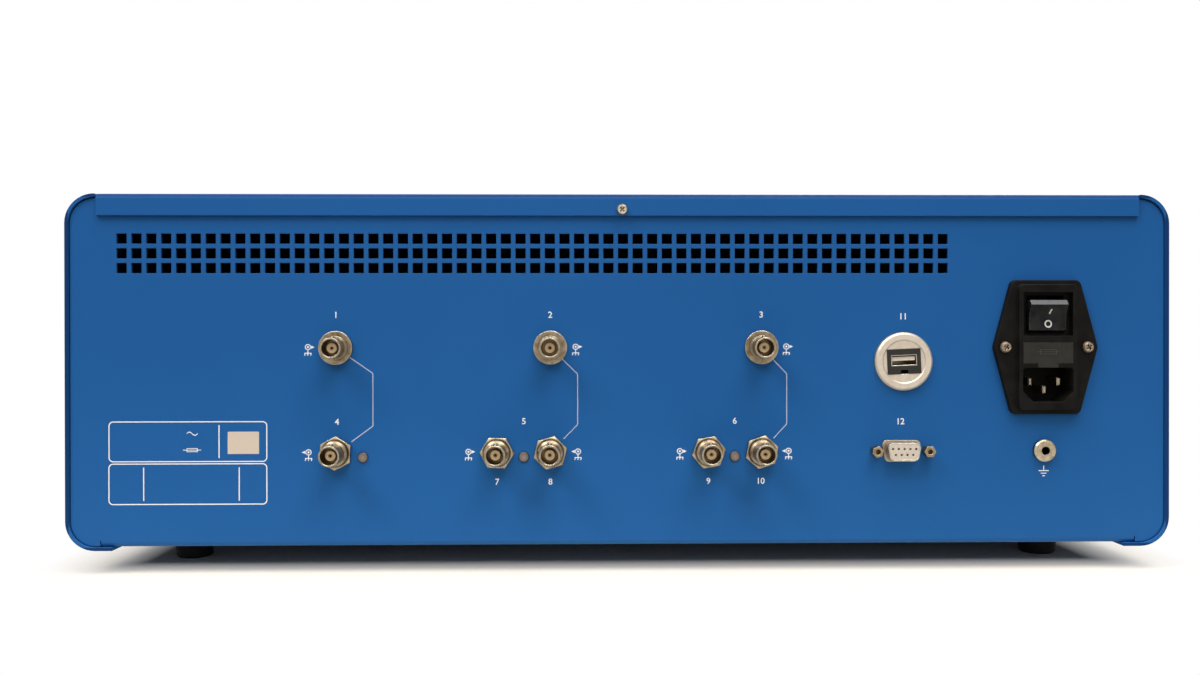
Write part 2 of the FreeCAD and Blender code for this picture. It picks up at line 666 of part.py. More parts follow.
def cut_serial_window(body):
    """Cut the window with sloping ends that the serial connector's base fills."""
    window = new_sketch(body, "XZ_Plane", "serial_window_outline")
    trapezoid(window, "serial_base_width + 2 * hole_clearance", "serial_base_height + 2 * hole_clearance",
              "serial_corner + hole_clearance", "serial_place", "serial_height")
    pocket(body, "serial_window", window, "4 * sheet", both=True)


def cut_vents(body):
    """Cut one column of square vents and repeat it across the panel."""
    column = new_sketch(body, "XZ_Plane", "vent_column")
    left = "(vent_inset - case_width / 2)"
    for row in range(int(size("vent_rows"))):
        centred_rectangle(column, left, "(vent_height - %d * vent_pitch)" % row, "vent_side", "vent_side")
    first = pocket(body, "first_vents", column, "4 * sheet", both=True)
    grid = body.newObject("PartDesign::LinearPattern", "vent_grid")
    grid.Originals = [first]
    grid.Direction = (origin_part(body, "X_Axis"), [""])
    bind(grid, "Length", "(vent_columns - 1) * vent_pitch")
    bind(grid, "Occurrences", "vent_columns")
    body.Tip = grid


def make_chassis():
    """The tray: floor, connector panel and inner front wall folded from one sheet."""
    body = new_body("chassis")
    tray = new_sketch(body, "YZ_Plane", "tray_profile")
    back = "(%s - sheet)" % CHASSIS_DEPTH
    outline(tray, [
        ("0", WALL_START), ("0", "sheet"), (CHASSIS_DEPTH, "sheet"), (CHASSIS_DEPTH, WALL_START),
        (back, WALL_START), (back, "2 * sheet"), ("sheet", "2 * sheet"), ("sheet", WALL_START)])
    floor = pad(body, "tray_floor", tray, "2 * " + FOLD_HALF, both=True)
    doc.recompute()
    thick = size("sheet")
    depth = size("case_depth") - size("front_plate")
    outer = straight_edges(floor, X_WAY, lambda at: abs(at.z - thick) < NEAR)
    bent = round_edges(body, "tray_outer_folds", floor, outer, "sheet + bend_inside")
    doc.recompute()
    inner = straight_edges(bent, X_WAY, lambda at: abs(at.z - 2 * thick) < NEAR and (
        abs(at.y - thick) < NEAR or abs(at.y - depth + thick) < NEAR))
    round_edges(body, "tray_inner_folds", bent, inner, "bend_inside")
    panel = new_sketch(body, "XZ_Plane", "panel_outline")
    wall_outline(panel)
    pad(body, "connector_wall", panel, "sheet", reverse=True)
    front = new_sketch(body, "XZ_Plane", "front_wall_outline", "-" + back)
    wall_outline(front)
    walls = pad(body, "front_wall", front, "sheet", reverse=True)
    doc.recompute()
    reach = size("case_width") / 2 - thick - size("panel_gap")
    corners = straight_edges(walls, Y_WAY, lambda at: abs(abs(at.x) - reach) < NEAR)
    round_edges(body, "wall_corners", walls, corners, "corner_radius - sheet - panel_gap")
    cut_rear_openings(body)
    cut_serial_window(body)
    front_holes = new_sketch(body, "XZ_Plane", "front_wall_openings", "-" + CHASSIS_DEPTH)
    front_openings(front_holes)
    pocket(body, "front_wall_holes", front_holes, "4 * sheet", both=True)
    floor_holes = new_sketch(body, "XY_Plane", "floor_openings", "2 * sheet")
    for _, across, along in foot_places():
        circle(floor_holes, across, along, "foot_screw / 2 + hole_clearance")
    pocket(body, "floor_holes", floor_holes, "2 * sheet")
    cut_vents(body)
    in_case(body)
    keep(body)


def front_openings(sketch):
    """The holes that the front wall and the front panel share."""
    for _, across in front_jack_places():
        circle(sketch, across, "front_row", "nut_barrel / 2 + hole_clearance")
    circle(sketch, "power_lamp_place", "front_row", "lamp_width / 2 + seat_room")
    for across, up in plate_screw_places():
        circle(sketch, across, up, "small_screw / 2 + hole_clearance")


def make_front_panel():
    """The plain front panel that closes the cover's front end."""
    body = new_body("front_panel")
    plate = new_sketch(body, "XZ_Plane", "front_outline", "-" + CHASSIS_DEPTH)
    rectangle(plate, "-case_width / 2", "case_width / 2", "0", "case_height")
    block = pad(body, "front_blank", plate, "front_plate", reverse=True)
    doc.recompute()
    corners = straight_edges(block, Y_WAY, lambda at: True)
    rounded = round_edges(body, "front_corners", block, corners, "corner_radius")
    doc.recompute()
    face_y = size("case_depth")
    rim = face_edges(rounded, lambda face: abs(face.CenterOfMass.y - face_y) < NEAR)
    round_edges(body, "front_bevel", rounded, rim, "plate_bevel", "PartDesign::Chamfer")
    holes = new_sketch(body, "XZ_Plane", "front_openings", "-case_depth")
    front_openings(holes)
    pocket(body, "front_holes", holes, "3 * front_plate", both=True)
    in_case(body)
    keep(body)


# Screws, nuts and feet

# How far each fastener was turned when it came tight, in degrees.
COVER_SCREW_TURN = 45
INLET_SCREW_TURNS = (30, 55)
POST_TURNS = (12, 29)

def pan_screw(label, thread, head, head_height, length):
    """A cross-recess pan-head screw whose head seats at Y = 0 and whose shank runs to +Y."""
    body = new_body(label)
    profile = new_sketch(body, "XY_Plane", label + "_profile")
    outline(profile, [
        ("0", "-%s" % head_height), ("%s / 2 - %s / 3" % (head, head_height), "-%s" % head_height),
        ("%s / 2" % head, "-%s / 2" % head_height), ("%s / 2" % head, "0"), ("%s / 2" % thread, "0"),
        ("%s / 2" % thread, length), ("0", length)])
    revolve(body, label + "_turned", profile)
    cross = new_sketch(body, "XZ_Plane", label + "_cross", head_height)
    arm = "cross_width / 2"
    end = "cross_span / 2"
    outline(cross, [
        (arm, arm), (arm, end), ("-" + arm, end), ("-" + arm, arm), ("-" + end, arm),
        ("-" + end, "-" + arm), ("-" + arm, "-" + arm), ("-" + arm, "-" + end), (arm, "-" + end),
        (arm, "-" + arm), (end, "-" + arm), (end, arm)])
    pocket(body, label + "_recess", cross, "cross_depth")
    return body


def hex_nut(label, flats, bore, height, start="0", chamfer=None):
    """A hexagon nut round the Y axis, from a stated depth towards +Y or, with a chamfer, towards -Y."""
    body = new_body(label)
    profile = new_sketch(body, "XZ_Plane", label + "_outline", "-(%s)" % start)
    hexagon(profile, flats)
    circle(profile, "0", "0", "(%s) / 2 + thread_room" % bore)
    pad(body, label + "_blank", profile, height, reverse=chamfer is None)
    if chamfer is not None:
        ring = new_sketch(body, "XY_Plane", label + "_chamfer_profile")
        wide = "(%s) / sqrt(3) + %s" % (flats, chamfer)
        outline(ring, [("(%s) / 2" % flats, "-(%s)" % height), (wide, "-(%s)" % height),
                       (wide, "-(%s) + %s" % (height, chamfer))])
        revolve(body, label + "_chamfer", ring, kind="PartDesign::Groove")
    return body


def make_case_screws():
    """The cover's one screw, the front panel's four, and the clinch nuts that hold them."""
    screw = pan_screw("cover_screw", "small_screw", "small_head", "small_head_height",
                      "(2 * sheet + clinch_height)")
    place(screw, "0", "-case_depth / 2 - sheet", "foot_height + case_height - lip_screw_drop", Y_WAY,
          COVER_SCREW_TURN)
    keep(screw)
    screws = []
    for index, (across, up) in enumerate(plate_screw_places()):
        screw = pan_screw("plate_screw_%d" % index, "small_screw", "small_head", "small_head_height",
                          "(front_plate + sheet + clinch_height)")
        on_front(screw, across, up)
        screws.append(screw)
    group("front_panel_screws", screws)
    nuts = []
    for index, (across, up) in enumerate([("0", "case_height - lip_screw_drop")] + plate_screw_places()):
        nut = clinch_nut("clinch_nut_%d" % index)
        if index == 0:
            place(nut, across, "-case_depth / 2 + sheet", "foot_height + %s" % up)
        else:
            place(nut, across, "case_depth / 2 - front_plate - sheet", "foot_height + %s" % up, Z_WAY, 180)
        nuts.append(nut)
    group("clinch_nuts", nuts)


def clinch_nut(label):
    """A round clinch nut that sits on a wall at Y = 0."""
    body = new_body(label)
    ring = new_sketch(body, "XZ_Plane", label + "_outline")
    circle(ring, "0", "0", "clinch_width / 2")
    circle(ring, "0", "0", "small_screw / 2 + seat_room")
    pad(body, label + "_blank", ring, "clinch_height", reverse=True)
    return body


def make_foot(label, across, along):
    """A tapered rubber foot with a deep counterbore for its screw."""
    body = new_body(label)
    profile = new_sketch(body, "XZ_Plane", label + "_profile")
    top = "(foot_height + sheet)"
    seat = "(%s - foot_seat)" % top
    outline(profile, [
        ("foot_bore / 2", "0"), ("foot_width / 2 - 2 * foot_taper", "0"),
        ("foot_width / 2 - foot_taper", "foot_taper"), ("foot_width / 2", top),
        ("foot_screw / 2 + hole_clearance", top), ("foot_screw / 2 + hole_clearance", seat),
        ("foot_bore / 2", seat)])
    revolve(body, label + "_turned", profile, "Z_Axis")
    place(body, across, "%s - case_depth / 2" % along, "0")
    keep(body)


def make_feet():
    """Four feet, each held by a screw from below and a nut on the chassis floor."""
    screws = []
    nuts = []
    for index, (label, across, along) in enumerate(foot_places()):
        make_foot(label, across, along)
        screw = pan_screw("foot_screw_%d" % index, "foot_screw", "foot_screw_head", "small_head_height",
                          "(foot_seat + sheet + foot_nut_height + relief_width)")
        seat = "foot_height + sheet - foot_seat"
        place(screw, across, "%s - case_depth / 2" % along, seat, X_WAY, 90)
        screws.append(screw)
        nut = hex_nut("foot_nut_%d" % index, "foot_nut_flats", "foot_screw", "foot_nut_height")
        place(nut, across, "%s - case_depth / 2" % along, "foot_height + 2 * sheet", X_WAY, 90)
        nuts.append(nut)
    group("foot_screws", screws)
    group("foot_nuts", nuts)


# Coaxial jacks

def bore_jack(body, label, reach, tail_end):
    """Add the bayonet studs, then bore the tube and, right through, the seat of the insulator."""
    lugs = new_sketch(body, "XY_Plane", label + "_stud_outline")
    circle(lugs, "0", "-(%s - jack_lug_back)" % reach, "jack_lug / 2")
    pad(body, label + "_studs", lugs, "jack_lug_span", both=True)
    cavity = new_sketch(body, "XZ_Plane", label + "_cavity_outline", reach)
    circle(cavity, "0", "0", "jack_cavity / 2")
    pocket(body, label + "_cavity", cavity, "jack_cavity_depth")
    core = new_sketch(body, "XZ_Plane", label + "_core_outline", reach)
    circle(core, "0", "0", "jack_core / 2")
    pocket(body, label + "_core", core, "%s + %s + relief_width" % (reach, tail_end))


def nut_jack(label, grip):
    """The shell of a jack held by a nut in front of the panel, with its flange behind it."""
    body = new_body(label)
    profile = new_sketch(body, "XY_Plane", label + "_profile")
    flange_end = "(%s + inner_flange_height)" % grip
    tail_end = "(%s + jack_tail_length)" % flange_end
    bulge = "(nut_shoulder + (nut_neck - nut_shoulder) * nut_bulge_back)"
    bulge_width = "(jack_tube + (nut_barrel - jack_tube) * nut_bulge_width)"
    outline(profile, [
        ("0", "-nut_reach"), ("jack_tube / 2", "-nut_reach"), ("jack_tube / 2", "-nut_neck"),
        (bulge_width + " / 2", "-" + bulge), ("nut_barrel / 2", "-nut_shoulder"), ("nut_barrel / 2", grip),
        ("inner_flange / 2", grip), ("inner_flange / 2", flange_end), ("jack_tail / 2", flange_end),
        ("jack_tail / 2", tail_end), ("0", tail_end)])
    revolve(body, label + "_turned", profile)
    bore_jack(body, label, "nut_reach", tail_end)
    return body


def flange_jack(label):
    """The shell of a jack whose round flange sits on the panel, with its nut behind it."""
    body = new_body(label)
    profile = new_sketch(body, "XY_Plane", label + "_profile")
    thread_end = "(sheet + back_nut_height + relief_width)"
    tail_end = "(%s + jack_tail_length)" % thread_end
    step = "(flange_height + flange_step_height)"
    outline(profile, [
        ("0", "-flange_reach"), ("jack_tube / 2", "-flange_reach"), ("jack_tube / 2", "-" + step),
        ("flange_step / 2", "-" + step), ("flange_step / 2", "-flange_height"),
        ("flange_width_round / 2", "-flange_height"), ("flange_width_round / 2", "0"),
        ("flange_barrel / 2", "0"), ("flange_barrel / 2", thread_end), ("jack_tail / 2", thread_end),
        ("jack_tail / 2", tail_end), ("0", tail_end)])
    revolve(body, label + "_turned", profile)
    bore_jack(body, label, "flange_reach", tail_end)
    return body


def jack_insulator(label, reach, tail_end):
    """The pale insulator that fills a jack's core, with a bore for the contact."""
    body = new_body(label)
    profile = new_sketch(body, "XY_Plane", label + "_profile")
    face = "-(%s - jack_core_back)" % reach
    outline(profile, [
        ("jack_pin / 2 + seat_room", face), ("jack_core / 2 - seat_room", face),
        ("jack_core / 2 - seat_room", tail_end), ("jack_pin / 2 + seat_room", tail_end)])
    revolve(body, label + "_turned", profile)
    return body


def jack_contact(label, reach, tail_end):
    """The contact in the middle of a jack, bored at the front, with a solder tag behind."""
    body = new_body(label)
    profile = new_sketch(body, "XY_Plane", label + "_profile")
    face = "-(%s - jack_core_back - seat_room)" % reach
    bottom = face + " + jack_pin_bore_depth"
    tag = "%s + jack_tag_length" % tail_end
    outline(profile, [
        ("jack_pin_bore / 2", face), ("jack_pin / 2", face), ("jack_pin / 2", tag), ("0", tag),
        ("0", bottom), ("jack_pin_bore / 2", bottom)])
    revolve(body, label + "_turned", profile)
    return body


# How far each panel nut was turned when it came tight, in degrees.
NUT_TURNS = {
    "generator_out_jack": 2,
    "channel_1_aux_jack": 32,
    "channel_1_main_jack": 14,
    "channel_2_aux_jack": 20,
    "channel_2_main_jack": 11,
}


def make_jacks():
    """The eight rear jacks and the four front ones, with their cores, contacts and nuts."""
    cores = {"flange": [], "nut": []}
    contacts = []
    panel_nuts = []
    back_nuts = []
    front_grip = "(front_plate + sheet)"
    tails = {"nut": "(sheet + inner_flange_height + jack_tail_length)",
             "flange": "(sheet + back_nut_height + relief_width + jack_tail_length)",
             "front": "(%s + inner_flange_height + jack_tail_length)" % front_grip}
    for label, kind, across, up in jack_places():
        shell = nut_jack(label, "sheet") if kind == "nut" else flange_jack(label)
        core = jack_insulator(label + "_insulator", kind + "_reach", tails[kind])
        contact = jack_contact(label + "_contact", kind + "_reach", tails[kind])
        for piece in (shell, core, contact):
            on_panel(piece, across, up)
        keep(shell)
        cores[kind].append(core)
        contacts.append(contact)
        if kind == "nut":
            nut = hex_nut(label + "_nut", "nut_flats", "nut_barrel", "nut_height", chamfer="nut_chamfer")
            on_panel(nut, across, up, Y_WAY, NUT_TURNS[label])
            panel_nuts.append(nut)
        else:
            nut = hex_nut(label + "_nut", "back_nut_flats", "flange_barrel", "back_nut_height", "sheet")
            on_panel(nut, across, up)
            back_nuts.append(nut)
    for label, across in front_jack_places():
        shell = nut_jack(label, front_grip)
        core = jack_insulator(label + "_insulator", "nut_reach", tails["front"])
        contact = jack_contact(label + "_contact", "nut_reach", tails["front"])
        nut = hex_nut(label + "_nut", "nut_flats", "nut_barrel", "nut_height", chamfer="nut_chamfer")
        for piece in (shell, core, contact, nut):
            on_front(piece, across, "front_row")
        keep(shell)
        cores["nut"].append(core)
        contacts.append(contact)
        panel_nuts.append(nut)
    group("flange_jack_insulators", cores["flange"])
    group("nut_jack_insulators", cores["nut"])
    group("jack_contacts", contacts)
    group("panel_jack_nuts", panel_nuts)
    group("back_jack_nuts", back_nuts)


def make_lamp(label, grip):
    """A small indicator whose collar rests on the back of the panel."""
    body = new_body(label)
    profile = new_sketch(body, "XY_Plane", label + "_profile")
    outline(profile, [
        ("0", "-lamp_proud"), ("lamp_width / 2 - lamp_proud / 2", "-lamp_proud"),
        ("lamp_width / 2", "-lamp_proud / 2"), ("lamp_width / 2", grip), ("lamp_collar / 2", grip),
        ("lamp_collar / 2", "%s + lamp_proud" % grip), ("lamp_width / 2", "%s + lamp_proud" % grip),
        ("lamp_width / 2", "lamp_length"), ("0", "lamp_length")])
    revolve(body, label + "_turned", profile)
    return keep(body)


def make_lamps():
    """Three indicators on the connector panel and one on the front."""
    for label, across in lamp_places():
        on_panel(make_lamp(label, "sheet"), across, "(lower_row - lamp_drop)")
    on_front(make_lamp("power_lamp", "(front_plate + sheet)"), "power_lamp_place", "front_row")


# Serial connector

def trapezoid(sketch, width, height, corner, middle_x="0", middle_y="0"):
    """A rounded outline with a wide top side and ends that slope in towards the bottom."""
    half = "(%s) / 2" % width
    short = "(%s - (%s) * serial_slope)" % (half, height)
    top = "%s + (%s) / 2" % (middle_y, height)
    bottom = "%s - (%s) / 2" % (middle_y, height)
    rounded_outline(sketch, [
        ("%s - %s" % (middle_x, half), top), ("%s - %s" % (middle_x, short), bottom),
        ("%s + %s" % (middle_x, short), bottom), ("%s + %s" % (middle_x, half), top)], corner)


def starts_at(feature, edge_name, along):
    """Whether an edge has an end at a stated place along Y."""
    edge = feature.Shape.Edges[int(edge_name[4:]) - 1]
    return any(abs(corner.Y - along) < NEAR for corner in edge.Vertexes)


def make_serial():
    """The nine-way serial connector: plate and shell, insulator and two jack screws."""
    shell = new_body("serial_shell")
    tube = new_sketch(shell, "XZ_Plane", "serial_tube_outline", "serial_reach")
    trapezoid(tube, "serial_shell_width", "serial_shell_height", "serial_corner")
    pad(shell, "serial_tube", tube, "serial_reach", reverse=True)
    base = new_sketch(shell, "XZ_Plane", "serial_base_outline", "serial_base_proud")
    trapezoid(base, "serial_base_width", "serial_base_height", "serial_corner")
    pad(shell, "serial_base", base, "serial_base_proud + sheet", reverse=True)
    plate = new_sketch(shell, "XZ_Plane", "serial_plate_outline", "-sheet")
    centred_rectangle(plate, "0", "0", "serial_plate_width", "serial_plate_height")
    pad(shell, "serial_plate_back", plate, "serial_plate", reverse=True)
    opening = new_sketch(shell, "XZ_Plane", "serial_bore_outline", "serial_reach")
    trapezoid(opening, "serial_shell_width - 2 * serial_wall", "serial_shell_height - 2 * serial_wall",
              "serial_corner - serial_wall")
    pocket(shell, "serial_bore", opening, "serial_reach + sheet + 2 * serial_plate")
    holes = new_sketch(shell, "XZ_Plane", "serial_plate_holes")
    for sign in ("-", ""):
        circle(holes, sign + "serial_pitch / 2", "0", "post_shank / 2 + hole_clearance")
    pocket(shell, "serial_plate_openings", holes, "4 * sheet")
    on_panel(shell, "serial_place", "serial_height")
    keep(shell)
    make_serial_insulator()
    posts = []
    for index, sign in enumerate(("-", "+")):
        post = jack_post("jack_post_%d" % index)
        on_panel(post, "serial_place %s serial_pitch / 2" % sign, "serial_height", Y_WAY, POST_TURNS[index])
        posts.append(post)
    group("serial_jack_screws", posts)


def make_serial_insulator():
    """The pale insulator with five holes over four."""
    body = new_body("serial_insulator")
    less = "2 * (serial_wall + seat_room)"
    core = new_sketch(body, "XZ_Plane", "serial_core_outline", "serial_reach")
    trapezoid(core, "serial_shell_width - " + less, "serial_shell_height - " + less,
              "serial_corner - serial_wall - seat_room")
    pad(body, "serial_core", core, "serial_reach + serial_depth", reverse=True)
    holes = new_sketch(body, "XZ_Plane", "serial_pin_holes", "serial_reach")
    for row, count in ((1, 5), (-1, 4)):
        for index in range(count):
            across = "%s * pin_pitch" % (index - (count - 1) / 2)
            circle(holes, across, "%d * pin_row_gap / 2" % row, "pin_hole / 2")
    pocket(body, "serial_pin_bores", holes, "pin_hole_depth")
    on_panel(body, "serial_place", "serial_height")
    keep(body)


def jack_post(label):
    """A hexagonal jack screw: threaded at the front, with a shank through panel and plate."""
    body = new_body(label)
    post = new_sketch(body, "XZ_Plane", label + "_outline", "post_reach")
    hexagon(post, "post_flats")
    pad(body, label + "_head", post, "post_reach", reverse=True)
    shank = new_sketch(body, "XZ_Plane", label + "_shank_outline")
    circle(shank, "0", "0", "post_shank / 2")
    pad(body, label + "_shank", shank, "sheet + serial_plate + small_nut_height", reverse=True)
    bore = new_sketch(body, "XZ_Plane", label + "_bore_outline", "post_reach")
    circle(bore, "0", "0", "post_bore / 2")
    pocket(body, label + "_bore", bore, "post_bore_depth")
    return body


# Round data socket

DATA_FACE = "(data_bezel_height - data_disc_sink)"
INSERT_FACE = "(data_bezel_height - data_disc_sink + insert_proud)"


def make_data_bezel():
    """The round bezel with its sunk disc, threaded barrel and window for the insert."""
    body = new_body("data_bezel")
    profile = new_sketch(body, "XY_Plane", "data_bezel_profile")
    outline(profile, [
        ("0", "-" + DATA_FACE), ("data_disc / 2", "-" + DATA_FACE),
        ("data_disc / 2 + data_disc_sink", "-data_bezel_height"),
        ("data_bezel / 2 - data_bezel_height / 2", "-data_bezel_height"),
        ("data_bezel / 2 - data_disc_sink / 2", "-(data_bezel_height + data_disc_sink) / 2"),
        ("data_bezel / 2", "-data_disc_sink"), ("data_bezel / 2", "0"), ("data_barrel / 2", "0"),
        ("data_barrel / 2", "data_barrel_length"), ("0", "data_barrel_length")])
    revolve(body, "data_bezel_turned", profile)
    window = new_sketch(body, "XZ_Plane", "data_window_outline", "data_bezel_height")
    centred_rectangle(window, "0", "0", "insert_width + 2 * seat_room", "insert_height + 2 * seat_room")
    pocket(body, "data_window", window, "data_bezel_height + data_barrel_length + sheet")
    on_panel(body, "data_place", "data_height", Y_WAY, size("data_turn"))
    keep(body)


def make_data_insert():
    """The black insert with the port's slot and a keyway below it."""
    body = new_body("data_insert")
    block = new_sketch(body, "XZ_Plane", "insert_outline", INSERT_FACE)
    centred_rectangle(block, "0", "0", "insert_width", "insert_height")
    blank = pad(body, "insert_block", block, INSERT_FACE + " + data_barrel_length", reverse=True)
    doc.recompute()
    round_edges(body, "insert_corners", blank, straight_edges(blank, Y_WAY, lambda at: True),
                "insert_corner")
    slot = new_sketch(body, "XZ_Plane", "insert_slot_outline", INSERT_FACE)
    centred_rectangle(slot, "0", "port_rise", "port_width + 2 * seat_room", "port_height + 2 * seat_room")
    rectangle(slot, "-key_width / 2", "key_width / 2",
              "-insert_height / 2 - key_height", "-insert_height / 2 + key_height")
    pocket(body, "insert_slot", slot, INSERT_FACE + " + data_barrel_length - 2 * port_wall")
    on_panel(body, "data_place", "data_height", Y_WAY, size("data_turn"))
    keep(body)


def make_data_port():
    """The metal shell of the port and the contact tongue inside it."""
    shell = new_body("data_port_shell")
    tube = new_sketch(shell, "XZ_Plane", "port_outline", INSERT_FACE + " - port_wall / 2")
    centred_rectangle(tube, "0", "port_rise", "port_width", "port_height")
    pad(shell, "port_block", tube, "data_barrel_length", reverse=True)
    opening = new_sketch(shell, "XZ_Plane", "port_opening_outline", INSERT_FACE + " - port_wall / 2")
    centred_rectangle(opening, "0", "port_rise", "port_width - 2 * port_wall", "port_height - 2 * port_wall")
    pocket(shell, "port_opening", opening, "data_barrel_length - port_wall")
    tongue = new_body("data_tongue")
    bar = new_sketch(tongue, "XZ_Plane", "tongue_outline", INSERT_FACE + " - tongue_back")
    centred_rectangle(bar, "0", "port_rise + tongue_height / 2 - port_wall / 2", "tongue_width",
                      "tongue_height")
    length = "data_barrel_length - port_wall - tongue_back + port_wall / 2"
    pad(tongue, "tongue_bar", bar, length, reverse=True)
    for piece in (shell, tongue):
        on_panel(piece, "data_place", "data_height", Y_WAY, size("data_turn"))
        keep(piece)


def make_data_nut():
    """The round nut that holds the data socket from behind."""
    body = new_body("data_nut")
    ring = new_sketch(body, "XZ_Plane", "data_nut_outline", "-sheet")
    circle(ring, "0", "0", "data_nut_width / 2")
    circle(ring, "0", "0", "data_barrel / 2 + thread_room")
    pad(body, "data_nut_blank", ring, "data_nut_height", reverse=True)
    on_panel(body, "data_place", "data_height")
    keep(body)


def make_earth_socket():
    """The four-millimetre earth socket and the nut behind it."""
    body = new_body("earth_socket")
    profile = new_sketch(body, "XY_Plane", "earth_profile")
    edge = "earth_reach / 4"
    outline(profile, [
        ("earth_bore / 2", "-earth_reach"), ("earth_width / 2 - " + edge, "-earth_reach"),
        ("earth_width / 2", "-earth_reach + " + edge), ("earth_width / 2", "0"), ("earth_barrel / 2", "0"),
        ("earth_barrel / 2", "earth_length"), ("0", "earth_length"),
        ("0", "earth_bore_depth - earth_reach"), ("earth_bore / 2", "earth_bore_depth - earth_reach")])
    revolve(body, "earth_turned", profile)
    nut = hex_nut("earth_nut", "earth_nut_flats", "earth_barrel", "earth_nut_height", "sheet")
    for piece in (body, nut):
        on_panel(piece, "earth_place", "earth_height")
        keep(piece)


# Mains inlet

SWITCH_WELL_WIDTH = "(rocker_width + 2 * rocker_gap)"
SLOT_WIDTH = "(drawer_width + 2 * drawer_room)"
SLOT_HEIGHT = "(drawer_height + 2 * drawer_room)"
BLADES = {
    "live_pin": ("-blade_pitch / 2", "(blade_rise - socket_drop)"),
    "neutral_pin": ("blade_pitch / 2", "(blade_rise - socket_drop)"),
    "earth_pin": ("0", "(blade_rise - blade_drop - socket_drop)"),
}


def make_inlet_housing():
    """The moulded inlet: six-sided flange, raised block, body, and its three openings."""
    body = new_body("inlet_housing")
    half = "inlet_tall / 2"
    shoulder = "inlet_shoulder / 2"
    flange = new_sketch(body, "XZ_Plane", "inlet_flange_outline")
    outline(flange, [
        ("inlet_span / 2", "0"), (shoulder, half), ("-" + shoulder, half),
        ("-inlet_span / 2", "0"), ("-" + shoulder, "-" + half), (shoulder, "-" + half)])
    plate = pad(body, "inlet_flange_plate", flange, "inlet_flange")
    doc.recompute()
    rounded = round_edges(body, "inlet_flange_corners", plate,
                          straight_edges(plate, Y_WAY, lambda at: True), "inlet_corner")
    doc.recompute()
    rim = face_edges(rounded, lambda face: abs(face.CenterOfMass.y + size("inlet_flange")) < NEAR)
    round_edges(body, "inlet_flange_edge", rounded, rim, "block_edge")
    raised = new_sketch(body, "XZ_Plane", "inlet_block_outline", "block_reach")
    centred_rectangle(raised, "0", "0", "block_width", "block_height")
    block = pad(body, "inlet_block", raised, "block_reach", reverse=True)
    doc.recompute()
    front = -size("block_reach")
    edges = [edge for edge in straight_edges(block, Y_WAY, lambda at: True) if starts_at(block, edge, front)]
    blunt = round_edges(body, "inlet_block_corners", block, edges, "block_corner")
    doc.recompute()
    lip = face_edges(blunt, lambda face: abs(face.CenterOfMass.y - front) < NEAR)
    round_edges(body, "inlet_block_edge", blunt, lip, "block_edge")
    trunk = new_sketch(body, "XZ_Plane", "inlet_trunk_outline")
    centred_rectangle(trunk, "0", "0", "trunk_width", "trunk_height")
    pad(body, "inlet_trunk", trunk, "trunk_depth", reverse=True)
    cut_switch_well(body)
    cut_drawer_slot(body)
    cut_plug_cavity(body)
    holes = new_sketch(body, "XZ_Plane", "inlet_screw_holes")
    for sign in ("-", ""):
        circle(holes, sign + "inlet_pitch / 2", "0", "small_screw / 2 + hole_clearance")
    pocket(body, "inlet_screw_openings", holes, "3 * inlet_flange", both=True)
    on_panel(body, "inlet_place", "inlet_height")
    keep(body)


def cut_switch_well(body):
    """Cut the recess round the rocker, the well behind it and the pivot's bearing."""
    recess = new_sketch(body, "XZ_Plane", "switch_recess_outline", "block_reach")
    centred_rectangle(recess, "0", "switch_rise", "recess_width", "recess_height")
    pocket(body, "switch_recess", recess, "recess_depth")
    well = new_sketch(body, "XZ_Plane", "switch_well_outline", "block_reach")
    centred_rectangle(well, "0", "switch_rise", SWITCH_WELL_WIDTH, "2 * (rocker_half + rocker_room)")
    pocket(body, "switch_well", well, "block_reach + rocker_well")
    bearing = new_sketch(body, "YZ_Plane", "switch_bearing_outline")
    circle(bearing, "pivot_depth", "switch_rise", "pivot_pin / 2 + pivot_room")
    pocket(body, "switch_bearing", bearing, "rocker_width + 2 * pivot_reach + 2 * rocker_gap", both=True)


def cut_drawer_slot(body):
    """Cut the fuse drawer's slot and the notch for its finger tab."""
    slot = new_sketch(body, "XZ_Plane", "drawer_slot_outline", "block_reach")
    centred_rectangle(slot, "0", "-drawer_drop", SLOT_WIDTH, SLOT_HEIGHT)
    pocket(body, "drawer_slot", slot, "drawer_plate + drawer_length + 2 * drawer_room")
    notch = new_sketch(body, "XZ_Plane", "tab_notch_outline", "block_reach")
    rectangle(notch, "-tab_width / 2 - drawer_room", "tab_width / 2 + drawer_room",
              "-drawer_drop - drawer_height / 2 - tab_height - drawer_room", "-drawer_drop")
    pocket(body, "tab_notch", notch, "drawer_plate + drawer_room")


def cut_plug_cavity(body):
    """Cut the cavity that takes the mains plug, and the slots that its pins are pressed into."""
    cavity = new_sketch(body, "XZ_Plane", "plug_cavity_outline", "block_reach")
    half = "socket_width / 2"
    top = "-socket_drop + socket_height / 2"
    bottom = "-socket_drop - socket_height / 2"
    outline(cavity, [
        ("-" + half, top), ("-" + half, bottom + " + socket_cut"), ("-(socket_width / 2 - socket_cut)", bottom),
        (half + " - socket_cut", bottom), (half, bottom + " + socket_cut"), (half, top)])
    cut = pocket(body, "plug_cavity", cavity, "socket_depth")
    doc.recompute()
    ceiling = size("socket_height") / 2 - size("socket_drop")
    side = size("socket_width") / 2
    upper = straight_edges(cut, Y_WAY, lambda at: abs(abs(at.x) - side) < NEAR and abs(at.z - ceiling) < NEAR)
    round_edges(body, "plug_cavity_corners", cut, upper, "socket_corner")
    slots = new_sketch(body, "XZ_Plane", "pin_slots_outline")
    for across, up in BLADES.values():
        centred_rectangle(slots, across, up, "blade_width", "blade_height")
    pocket(body, "pin_slots", slots, "2 * trunk_depth")


